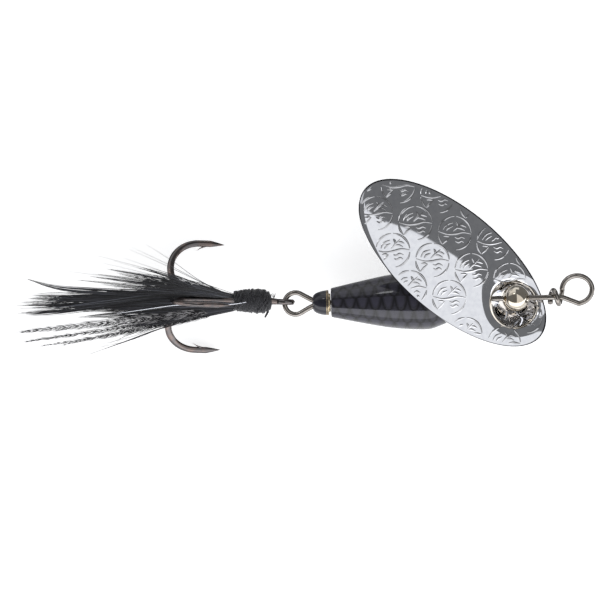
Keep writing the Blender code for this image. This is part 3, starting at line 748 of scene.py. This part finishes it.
def medallion():
    """Broken ring round reeds, a leaning sprig, ripples on water and a wedge of shore."""
    marks = [arc((0, 0), 1, 1, start, end, steps)
             for start, end, steps in ((6, 88, 12), (95, 174, 12), (-82, -6, 10), (186, 226, 6))]
    strokes = [((-0.98, 0.02), (-0.45, -0.10), (0.05, -0.04), (0.50, 0.08), (0.98, 0.02)),
               ((-0.70, 0.12), (-0.60, 0.34), (-0.44, 0.50), (-0.16, 0.60)),
               ((-0.50, 0.10), (-0.38, 0.28), (-0.14, 0.40)),
               ((-0.12, 0.10), (0.14, 0.36), (0.44, 0.66)),
               ((0.16, 0.38), (0.12, 0.56), (0.04, 0.68)), ((0.12, 0.30), (0.36, 0.30), (0.60, 0.20)),
               ((0.30, 0.50), (0.50, 0.48), (0.68, 0.40)),
               ((0.02, -0.24), (0.20, -0.30), (0.40, -0.20), (0.62, -0.28)),
               ((0.06, -0.48), (0.24, -0.54), (0.42, -0.44), (0.58, -0.52)),
               ((-0.69, -0.72), (-0.50, -0.50), (-0.26, -0.24)),
               ((-0.66, -0.24), (-0.46, -0.22), (-0.30, -0.26))]
    marks += [spline([(x, y, 0) for x, y in stroke], 4) for stroke in strokes]
    return marks


def in_outline(s, w, inset):
    """Is this point inside the blade's edge by at least the inset, and clear of its hole?"""
    along = (s - BLADE_MIDDLE) / (BLADE_LENGTH / 2 - inset)
    across = w / (BLADE_WIDTH / 2 - inset)
    return along ** 2 + across ** 2 < 1 and math.hypot(s, w) > BLADE_HOLE / 2 + 0.45


def stamp_blade(bm):
    """Rows of ring medallions, cut off at the blade's edge and round its hole."""
    pitch = Vector((8.69, 4.23))
    first = Vector((-8.84, -1.42))
    lean = math.radians(38)
    marks = medallion()
    for row in range(-4, 5):
        for column in range(-3, 4):
            shift = 0.5 if row % 2 else 0.0
            centre = first + Vector(((column + shift) * pitch.x, row * pitch.y / 2))
            if not in_outline(centre.x, centre.y, -1.6):
                continue
            turn = lean + math.radians(chance.uniform(-3, 3))
            for mark in marks:
                route = []
                for p in mark:
                    q = Matrix.Rotation(turn, 2) @ Vector((p.x, p.y)) * MARK_SIZE + centre
                    if in_outline(q.x, q.y, MARK_MARGIN):
                        route.append((q.x, q.y))
                    elif len(route) > 3:
                        break
                    else:
                        route = []
                if len(route) > 3:
                    join(bm, rib(route, RIB_WIDTH, RIB_HEIGHT))
    return bm


hole_cut = bmesh.new()
along_shaft = Matrix.Rotation(BLADE_SLEW, 4, "Z") @ Matrix.Rotation(math.pi / 2, 4, "Y")
bmesh.ops.create_cone(hole_cut, cap_ends=True, segments=48, radius1=BLADE_HOLE / 2,
                      radius2=BLADE_HOLE / 2, depth=3.2, matrix=along_shaft)
hole_cutter = helper(hole_cut)
blade = worked(blade_sheet(),
               ("SOLIDIFY", {"thickness": BLADE_SHEET, "offset": 0.0, "use_even_offset": True}),
               ("BEVEL", {"width": 0.07, "segments": 2, "limit_method": "ANGLE",
                          "angle_limit": math.radians(60)}),
               ("BOOLEAN", {"operation": "DIFFERENCE", "object": hole_cutter}))
drop(hole_cutter)
plain_faces = len(blade.faces)
stamp_blade(blade)
stamped = finished("blade_stamped", put(blade, from_blade), SILVER, "blade",
                   ["blade"], 45)
# the ribs take the darker copy of the plate: painted shade
stamped.data.materials.append(STAMPED)
for face in stamped.data.polygons[plain_faces:]:
    face.material_index = 1


# ---- treble hook
def hook_side(angle):
    """Unit vector across the treble, at an angle from straight up towards -Y."""
    a = math.radians(angle)
    return Vector((0, -math.sin(a), math.cos(a)))


def hook_arm(angle, front_x):
    """Centreline of one hook, from its shank's front end to its needle tip."""
    side = hook_side(angle)
    bend = (HOOK_GAP - SHANK_OFFSET) / 2
    path = [Vector((front_x, 0, 0)) + side * SHANK_OFFSET]
    for i in range(33):
        a = math.pi * i / 32
        path.append(Vector((-HOOK_BEND_CENTRE - bend * math.sin(a), 0, 0))
                    + side * (SHANK_OFFSET + bend * (1 - math.cos(a))))
    for step in range(1, 13):
        share = step / 12
        inward = 0.18 * max(0.0, share - 0.4)
        path.append(Vector((-HOOK_BEND_CENTRE + HOOK_POINT * share, 0, 0)) + side * (HOOK_GAP - inward))
    return path


def forged(bm, angle):
    """Flatten the bend and spear in the hook's own plane, which leaves them deeper than the wire."""
    side = hook_side(angle)
    across = Vector((1, 0, 0)).cross(side)
    for v in bm.verts:
        if v.co.dot(side) > SHANK_OFFSET - 0.6:
            share = min(1.0, max(0.0, (-6.5 - v.co.x) / 2.5, (v.co.dot(side) - 2.0) / 2.0))
            v.co -= across * v.co.dot(across) * FORGED_FLAT * share
    return bm


def needle(path, tips):
    """Wire radii along a path, ground down to a needle over the last length at each pointed end."""
    lengths = [0.0]
    for a, b in zip(path, path[1:]):
        lengths.append(lengths[-1] + (b - a).length)
    radii = []
    for at in lengths:
        left = lengths[-1] - at if tips == 1 else min(at, lengths[-1] - at)
        share = min(1.0, left / NEEDLE_LENGTH)
        bend = min(1.0, max(0.0, (16.0 - left) / 3.0))
        radii.append(HOOK_WIRE / 2 * max(0.03, share ** 0.85) * (1 + FORGED_DEEP * bend))
    return radii


def barb(angle):
    """A sliver of the point lifted towards the bend."""
    side = hook_side(angle)
    root = Vector((-HOOK_BEND_CENTRE + HOOK_POINT * 0.50, 0, 0)) + side * (HOOK_GAP - 0.10)
    tip = Vector((-HOOK_BEND_CENTRE - 0.35, 0, 0)) + side * (HOOK_GAP - 0.98)
    path = [root.lerp(tip, t) + side * 0.16 * math.sin(math.pi * t)
            for t in (0, 0.2, 0.4, 0.6, 0.8, 1.0)]
    return swept(path, [0.24, 0.22, 0.17, 0.11, 0.06, 0.012], 8, 0.75)


def hook(path, angles, tips):
    """Hook wire along a path, with a forged bend and a barb at each angle."""
    smooth_path = even(path, HOOK_STEP)
    bm = swept(smooth_path, needle(smooth_path, tips), 16)
    for angle in angles:
        forged(bm, angle)
        sliver = helper(barb(angle))
        bm = worked(bm, ("BOOLEAN", {"operation": "UNION", "object": sliver}))
        drop(sliver)
    return bm


LOW = 120 + HOOK_ROLL
HIGH = HOOK_ROLL - 120
start = -3.2
stack = HOOK_WIRE / 2 + 0.05
ring_angle = math.degrees(math.asin(stack / HOOK_EYE_RADIUS))
eye = []
for i in range(41):
    a = math.radians(-180 + ring_angle + (360 - 2 * ring_angle) * i / 40)
    eye.append(Vector((HOOK_EYE_RADIUS * math.cos(a), 0, HOOK_EYE_RADIUS * math.sin(a))))
neck = HEAD_FRONT
into = [Vector((start + 0.55, -0.26, -0.36)), Vector((neck - 0.15, -0.05, -0.42))]
back = [Vector((neck - 0.15, 0.12, 0.42)), Vector((start + 0.95, 0.36, 0.27)),
        Vector((start + 0.5, 0.44, 0.0))]
double_path = hook_arm(LOW, start)[::-1] + into + eye + back + hook_arm(HIGH, start)
double_hook = hook(double_path, (LOW, HIGH), 2)
finished("double_hook_plated", put(double_hook, from_treble), NICKEL, "treble",
         ["double_hook"])
single_hook = hook(hook_arm(HOOK_ROLL, start - 0.15), (HOOK_ROLL,), 1)
finished("single_hook_plated", put(single_hook, from_treble), NICKEL, "treble",
         ["single_hook"])


# ---- wound thread head
HEAD = [(p.x, p.y) for p in spline([(0.92, 0, 0), (1.26, -0.42, 0), (1.43, -1.1, 0), (1.42, -2.4, 0),
                                    (1.18, -HEAD_LENGTH, 0)], 6)]


def head_radius(x):
    """Radius of the wound head at a distance behind its front."""
    for (r0, x0), (r1, x1) in zip(HEAD, HEAD[1:]):
        if x >= x1:
            return r0 + (r1 - r0) * (x - x0) / (x1 - x0)
    return HEAD[-1][0]


def winding(first, last, turns, thick, lift, slant):
    """One run of thread round the head. Slant tips each turn over, towards the front or the back."""
    path = []
    steps = round(turns * 24)
    for i in range(steps + 1):
        t = i / steps
        a = 2 * math.pi * turns * t
        x = first + (last - first) * t + slant * math.sin(a + 0.6 * math.sin(t * 9))
        x += 0.07 * noise.noise(Vector((a * 0.6, lift * 20, 0)))
        x = min(-0.12, max(-HEAD_LENGTH + 0.08, x))
        wobble = noise.noise(Vector((x * 1.9, a * 0.8, lift * 9))) * 0.09
        r = head_radius(x) - thick + lift + wobble
        path.append(Vector((HEAD_FRONT + x, -r * math.sin(a), r * math.cos(a))))
    return path


head = bmesh.new()
core_side = [(r - 0.20, x) for r, x in HEAD] + [(0.84, -HEAD_LENGTH), (0.84, 0)]
join(head, turned(core_side, HEAD_FRONT, 32))
for first, last, turns, thick, lift, slant in ((-0.05, -4.40, 13, 0.17, -0.03, 0.06),
                                               (-4.20, -0.30, 8, 0.16, 0.01, 0.42),
                                               (-0.40, -4.20, 8, 0.15, 0.03, -0.48),
                                               (-4.0, -0.6, 5, 0.14, 0.06, 0.20),
                                               (-0.8, -3.9, 4, 0.12, 0.07, -0.75)):
    route = winding(first, last, turns, thick, lift, slant)
    swell = [thick * (1 + 0.30 * noise.noise(p * 2.9)) for p in route]
    join(head, swept(route, swell, 7))
# loose ends: a cut stub under the front of the head and a tuft of fuzz over it
for p, q, thick in (((-1.95, -1.15, 0.1), (-2.35, -1.95, 0.25), 0.13),
                    ((-1.30, 0.50, 0.35), (-1.22, 1.02, 0.5), 0.05),
                    ((-1.36, 0.48, 0.38), (-1.55, 1.06, 0.55), 0.04),
                    ((-1.42, 0.46, 0.36), (-1.75, 0.95, 0.5), 0.035)):
    a, b = Vector(p), Vector(q)
    route = [a.lerp(b, t) + Vector((0, 0, 0.05 * math.sin(3 * t))) for t in (0, 0.25, 0.5, 0.75, 1.0)]
    join(head, swept(route, [thick, thick, thick, thick * 0.9, thick * 0.6], 6))
for n in range(46):
    x = chance.uniform(-HEAD_LENGTH + 0.2, -0.15)
    a = chance.uniform(0, 2 * math.pi)
    r = head_radius(x) - 0.1
    root = Vector((HEAD_FRONT + x, -r * math.sin(a), r * math.cos(a)))
    out = Vector((chance.uniform(-0.5, 0.5), -math.sin(a), math.cos(a))) * chance.uniform(0.18, 0.34)
    curl = Vector((chance.uniform(-0.1, 0.1), 0, 0))
    join(head, swept([root, root + out * 0.5 + curl, root + out], [0.020, 0.016, 0.006], 3))
finished("thread_head_wound", put(head, from_treble), THREAD, "treble",
         ["thread_head"], 60)


# ---- hair and feather
class Strands:
    """Many tapered fibres in one piece, each with its own tone and its place along the bundle."""

    def __init__(self, sides, stops):
        unit = rod(stops, sides)
        self.unit = bpy.data.meshes.new("strand")
        unit.to_mesh(self.unit)
        self.stations = [v.co.copy() for v in unit.verts]
        unit.free()
        self.stops = stops
        self.bm = bmesh.new()
        self.tones = []
        self.along = []

    def grow(self, path, thick, tone, taper=0.12, flat=1.0, along=None, side=None):
        """Lay one fibre. It keeps its thickness for most of its length, then runs to a fine tip."""
        count = len(self.bm.verts)
        self.bm.from_mesh(self.unit)
        self.bm.verts.ensure_lookup_table()
        mine = self.bm.verts[count:]
        last = self.stops - 1
        radii = []
        for i in range(self.stops):
            share = i / last
            thin = max(0.0, (share - 0.45) / 0.55) ** 1.3
            radii.append(thick * (1 - (1 - taper) * thin))
        for v in self.stations:
            self.tones.append(tone)
            self.along.append(v.z if along is None else along[0] + (along[1] - along[0]) * v.z)
        lay(mine, path, radii, flat, side)

    def finish(self, name, material, nodes):
        put(self.bm, from_shaft)
        piece = finished(name, self.bm, material, "treble", nodes, 80)
        for label, values in (("strand", self.tones), ("along", self.along)):
            layer = piece.data.attributes.new(label, "FLOAT", "POINT")
            layer.data.foreach_set("value", values)
        bpy.data.meshes.remove(self.unit)
        return piece


def along_line(points, share):
    """Point at a share of the way along a list of points."""
    at = share * (len(points) - 1)
    i = min(int(at), len(points) - 2)
    return points[i].lerp(points[i + 1], at - i)


def bundle(strands, centre, across, deep, count, thick, lengths, stray=0.25):
    """Fibres that fill an oval bundle along a centreline, each ending at its own length."""
    line = spline(centre, 8)
    wide = spline([(v, 0, 0) for v in across], 8)
    tall = spline([(v, 0, 0) for v in deep], 8)
    for _ in range(count):
        a = chance.uniform(0, 2 * math.pi)
        rho = math.sqrt(chance.random())
        end = chance.uniform(*lengths) * (1 - 0.18 * rho * rho)
        drift = chance.uniform(-stray, stray)
        rise = chance.uniform(-stray, stray) * 0.5
        path = []
        for i in range(strands.stops):
            share = end * i / (strands.stops - 1)
            p = along_line(line, share).copy()
            p.y += along_line(wide, share).x * rho * math.cos(a) + drift * share ** 2
            p.z += along_line(tall, share).x * rho * math.sin(a) + rise * share ** 2
            wave = noise.noise_vector(Vector((p.x * 0.25, a * 3, rho * 5))) * 0.10
            path.append(p + wave * min(1.0, share * 4))
        strands.grow(path, thick * chance.uniform(0.7, 1.25), chance.random())


def wisp(strands, points, thick, tone):
    """One hair that leaves the bundle on its own."""
    line = spline(points, 8)
    path = [along_line(line, i / (strands.stops - 1)) for i in range(strands.stops)]
    strands.grow(path, thick, tone, 0.25)


def clump(strands, points, count, thick, loose):
    """A lock of hairs that part a little on the way and meet in one pointed tip."""
    for _ in range(count):
        dy = chance.gauss(0, loose)
        dz = chance.gauss(0, loose * 0.7)
        end = chance.uniform(0.86, 1.0)
        moved = []
        for i, p in enumerate(points):
            share = i / (len(points) - 1)
            spread = math.sin(math.pi * min(1.0, 0.12 + share * 0.88)) + 0.12
            moved.append(Vector(p) + Vector((0, dy * spread, dz * spread)))
        line = spline(moved, 8)
        path = [along_line(line, end * i / (strands.stops - 1)) for i in range(strands.stops)]
        strands.grow(path, thick * chance.uniform(0.75, 1.2), chance.random(), 0.2)


CORE = [(-31.3, 0.62, 0.72), (-35.4, 1.05, 0.55), (-39.2, 1.20, 0.75), (-45.0, 0.80, 1.2),
        (-51.5, 0.85, 1.9), (-57.2, 0.35, 2.6)]
core = Strands(4, 12)
bundle(core, CORE, [0.55, 0.50, 0.66, 1.25, 1.30, 1.00], [0.35, 0.5, 0.7, 0.9, 0.8, 0.35], 400, 0.062,
       (0.70, 0.98))
for end_x, end_y, lift in ((-57.9, 0.88, 2.4), (-57.5, 0.60, 2.5), (-57.8, -0.44, 2.3), (-57.2, -0.26, 2.5),
                           (-56.6, -0.62, 2.2), (-56.9, 0.2, 2.8), (-56.2, 1.35, 2.7), (-55.6, 1.75, 2.6)):
    clump(core, [(-31.3, 0.6, 0.9), (-39.2, 1.2, 1.3), (-48, (0.9 + end_y) / 2, 2.1),
                 (-53, end_y * 0.9 + 0.1, 2.4), (end_x, end_y, lift)], 11, 0.058, 0.20)
clump(core, [(-31.3, 0.7, 0.9), (-42, 1.55, 1.7), (-48.5, 2.0, 2.4), (-52.5, 2.55, 2.9), (-56.1, 3.75, 3.1)],
      16, 0.055, 0.20)
COVER = [(-31.3, 0.10, 1.25), (-35.2, 0.28, 1.75), (-39.2, 0.30, 2.1), (-44.5, 0.05, 2.3),
         (-50.5, -0.15, 2.4)]
bundle(core, COVER, [0.55, 0.62, 0.66, 0.62, 0.5], [0.18, 0.25, 0.35, 0.4, 0.3], 210, 0.058, (0.55, 0.98))
core.finish("tail_hair_core_fibres", HAIR, ["tail_hair_core"])

UPPER = [(-31.35, 0.95, 0.95), (-35.3, 1.75, 1.9), (-39.2, 2.30, 2.4), (-43.6, 2.65, 2.7),
         (-48.0, 2.9, 3.0)]
upper = Strands(4, 12)
bundle(upper, UPPER, [0.35, 0.60, 0.85, 1.0, 1.1], [0.3, 0.5, 0.8, 0.9, 0.8], 120, 0.055, (0.42, 0.95), 0.8)
for end_x, end_y, lift, count in ((-48.3, 3.8, 3.3, 12), (-46.5, 4.7, 3.5, 12), (-44.3, 3.3, 3.6, 10),
                                  (-42.4, 4.85, 3.4, 12), (-50.2, 3.5, 3.2, 9), (-49.4, 4.35, 3.2, 6),
                                  (-45.2, 4.15, 3.4, 10), (-47.6, 2.9, 3.2, 10), (-41.0, 3.9, 3.2, 9),
                                  (-43.6, 5.0, 3.2, 6), (-51.4, 2.7, 3.0, 7)):
    clump(upper, [(-31.35, 1.0, 1.0), (-35.3, (end_y + 3.2) / 3.8, 2.0),
                  ((-35.3 + end_x) / 2, end_y * 0.74, 2.9), (end_x, end_y, lift)], count, 0.050, 0.17)
for end in ((-47.5, 6.3, 3.4), (-43.3, 7.2, 3.6), (-43.6, 6.95, 3.5), (-41.6, 7.5, 3.4), (-45.5, 5.6, 3.4),
            (-46.8, 5.4, 3.2), (-44.2, 5.9, 3.3), (-51.5, 4.6, 3.3)):
    wisp(upper, [(-31.35, 1.0, 1.0), (-35.3, (end[1] + 3.4) / 3.6, 2.0),
                 ((-35.3 + end[0]) / 2, end[1] * 0.72, 3.0), end], 0.036, chance.random())
upper.finish("tail_hair_left_fibres", HAIR, ["tail_hair_left"])

LOWER = [(-31.4, -0.25, 0.85), (-35.4, -0.66, 1.2), (-39.6, -1.15, 1.6), (-44.0, -1.40, 1.7),
         (-48.6, -1.7, 1.6)]
lower = Strands(4, 12)
bundle(lower, LOWER, [0.40, 0.66, 1.05, 1.15, 1.1], [0.3, 0.5, 0.7, 0.7, 0.5], 230, 0.058, (0.5, 0.98), 0.4)
clump(lower, [(-31.4, -0.3, 0.9), (-39.6, -0.7, 1.9), (-45.0, -0.8, 2.0), (-50.0, -1.0, 1.9)], 18, 0.055, 0.2)
for end, thick in (((-48.5, -5.4, 1.6), 0.075), ((-48.9, -5.5, 1.7), 0.05), ((-52.2, -5.5, 1.6), 0.03),
                   ((-50.9, -5.0, 1.8), 0.035), ((-47.2, -4.6, 1.7), 0.04), ((-45.8, -4.4, 1.5), 0.04)):
    wisp(lower, [(-31.4, -0.5, 0.7), (-39.6, end[1] * 0.45, 1.2), (-44, end[1] * 0.72, 1.4), end], thick, 0.1)
lower.finish("tail_hair_right_fibres", HAIR, ["tail_hair_right"])


# ---- barred hackle and tinsel
def feather(strands, points, width, start_bar, bars, count, shades):
    """A narrow hackle feather: a stem with fine barbs in ragged groups that lie close to it."""
    line = spline(points, 10)
    stem = [along_line(line, i / (strands.stops - 1)) for i in range(strands.stops)]
    strands.grow(stem, 0.055, 0.1, 0.3, along=(start_bar, start_bar + 0.2))
    for n in range(count):
        share = 0.14 + 0.83 * (n + chance.uniform(-0.5, 0.5)) / count
        share += 0.0055 * math.sin(share * 260 + 2.5 * math.sin(share * 31))
        share = min(0.975, share)
        p = along_line(line, share)
        ahead = (along_line(line, min(1.0, share + 0.02)) - along_line(line, share - 0.02)).normalized()
        side = Vector((0, 0, 1)).cross(ahead) * (1 if n % 2 else -1)
        fill = math.sin(math.pi * min(1.0, 0.16 + share * 0.82)) ** 0.7
        reach = width * fill * chance.uniform(0.30, 1.10)
        up = chance.uniform(-0.5, 0.5) * reach
        lean = chance.uniform(1.3, 3.0)
        path = []
        for i in range(strands.stops):
            t = i / (strands.stops - 1)
            path.append(p + ahead * reach * (lean * t + 0.5 * t * t) + side * reach * (t - 0.35 * t * t)
                        + Vector((0, 0, up * t)))
        bar = start_bar + bars * share + chance.uniform(-0.12, 0.12)
        strands.grow(path, 0.029 * chance.uniform(0.8, 1.25), chance.uniform(*shades), 0.25,
                     along=(bar, bar + 0.9 * reach))


hackle = Strands(3, 6)
feather(hackle, [(-31.3, -0.55, 0.55), (-36.5, -0.95, 1.9), (-42.0, -1.45, 2.5), (-50.0, -2.05, 2.6),
                 (-57.5, -2.65, 2.6)], 0.85, 0.0, 56, 430, (0.45, 1.0))
feather(hackle, [(-31.3, -0.65, 0.45), (-36.5, -1.25, 1.5), (-42.0, -2.05, 2.0), (-50.0, -3.0, 2.2),
                 (-57.0, -3.85, 2.2)], 0.55, 0.3, 52, 380, (0.0, 0.35))
feather(hackle, [(-31.3, -0.7, 0.3), (-36.5, -1.65, 0.9), (-42.0, -2.60, 1.3), (-48.0, -3.5, 1.4),
                 (-55.0, -4.4, 1.3)], 0.55, 0.6, 50, 260, (0.2, 0.9))
feather(hackle, [(-31.3, -0.7, 0.3), (-36.5, -1.45, 1.2), (-42.0, -2.35, 1.6), (-47.0, -3.3, 1.7),
                 (-52.3, -4.4, 1.6)], 0.40, 0.1, 44, 150, (0.0, 0.6))
hackle.finish("barred_hackle_barbs", GRIZZLY, ["barred_hackle"])

flash = Strands(4, 14)
for points in ([(-28.6, 0.52, 1.62), (-31.2, 0.10, 2.1), (-35.0, -0.02, 2.3), (-38.6, 0.16, 2.9)],
               [(-35.5, 0.1, 2.4), (-38.3, 0.12, 2.9), (-42.0, -0.3, 3.4), (-45.2, -0.66, 3.3)]):
    line = spline(points, 8)
    flash.grow([along_line(line, i / 13) for i in range(14)], 0.055, 0.9, 0.5, flat=0.35)
flash.finish("flash_strand_tinsel", TINSEL, ["flash_strand"])


# ---- floor, light and camera
def stage_floor():
    """Plain pale table, just under the lure."""
    mat, tree, shader, place = new_material("pale_sweep", Roughness=0.9, Specular_IOR_Level=0.1,
                                            Emission_Color=(1.0, 1.0, 1.0, 1.0), Emission_Strength=0.66)
    grain = cloud(tree, place, 60, 3)
    feed(tree, shader, Base_Color=blend(tree, grain, (0.80, 0.80, 0.80), (0.83, 0.83, 0.83)))
    bm = bmesh.new()
    bmesh.ops.create_grid(bm, x_segments=1, y_segments=1, size=2.0,
                          matrix=Matrix.Translation((0, 0, cad_box[0][2] - 0.12 * MM)))
    mesh = bpy.data.meshes.new("floor")
    bm.to_mesh(mesh)
    bm.free()
    mesh.materials.append(mat)
    floor = bpy.data.objects.new("floor", mesh)
    floor.visible_glossy = False
    bpy.context.scene.collection.objects.link(floor)


def light_tent():
    """Soft white tent: a broad roof panel with a lens opening, low side panels and a dark far side."""
    world = bpy.data.worlds.new("light_tent")
    bpy.context.scene.world = world
    world.use_nodes = True
    tree = world.node_tree
    direction = tree.nodes.new("ShaderNodeTexCoord").outputs["Generated"]
    towards = add(tree, "SeparateXYZ", {0: direction}).outputs
    x, y, z = towards["X"], towards["Y"], towards["Z"]
    high = sums(tree, "MAXIMUM", z, 0.04)
    roof_x = sums(tree, "DIVIDE", x, high)
    roof_y = sums(tree, "DIVIDE", y, high)
    turn = sums(tree, "ARCTAN2", y, high)

    def both(*parts):
        """Where all the parts are lit."""
        lit = parts[0]
        for part in parts[1:]:
            lit = sums(tree, "MULTIPLY", lit, part)
        return lit

    def span(value, low, high_end, soft=0.02):
        """1 between two values of a direction, with a soft edge at each."""
        return both(ranged(tree, value, low, low + soft), ranged(tree, value, high_end, high_end - soft))

    aside = sums(tree, "ADD", both(roof_x, 0.475), both(roof_y, 0.912))
    opening = sums(tree, "MAXIMUM", ranged(tree, roof_x, 0.09, 0.12), ranged(tree, roof_y, -0.93, -0.97))
    roof = both(ranged(tree, aside, 0.71, 0.69), opening)
    left = ranged(tree, roof_x, 0.0, -0.06)
    near = both(ranged(tree, turn, -0.72, -0.75), ranged(tree, turn, -1.40, -1.36))
    far = both(span(turn, 0.96, 1.46, 0.04), left)
    strip = both(span(turn, 0.60, 1.0, 0.04), left)
    small = both(span(roof_x, -0.47, -0.29), span(roof_y, 0.76, 1.04))
    steep = sums(tree, "DIVIDE", y, sums(tree, "ADD", sums(tree, "ABSOLUTE", x), 0.02))
    ends = sums(tree, "MAXIMUM", ranged(tree, steep, 2.0, 3.0), ranged(tree, steep, -0.9, -1.2))
    rim = both(ranged(tree, z, 0.14, 0.10), ends, ranged(tree, z, -0.4, 0.0, 0.40, 1.0))
    level = 0.17
    for panel, glow in ((roof, 0.92), (near, 2.1), (far, 0.9), (strip, 0.6), (small, 4.0), (rim, 0.95)):
        level = sums(tree, "MAXIMUM", level, both(panel, glow))
    shade = tree.nodes["Background"]
    tree.links.new(level, shade.inputs["Strength"])
    shade.inputs["Color"].default_value = (0.97, 0.98, 1.0, 1.0)


def look_down():
    """Long lens straight above the lure, its top edge turned a little off the shaft."""
    camera = bpy.data.objects.new("camera", bpy.data.cameras.new("camera"))
    camera.data.lens = 200
    camera.data.sensor_width = 36
    camera.data.clip_start = 0.01
    middle = (Vector(cad_box[0]) + Vector(cad_box[1])) / 2
    camera.location = (middle.x - 0.634 * MM, middle.y - 3.985 * MM, HOLE.z + 400 * MM)
    camera.rotation_euler = (0, 0, math.radians(-1.39))
    bpy.context.scene.collection.objects.link(camera)
    bpy.context.scene.camera = camera


stage_floor()
light_tent()
look_down()
bpy.context.scene.view_settings.view_transform = "Standard"
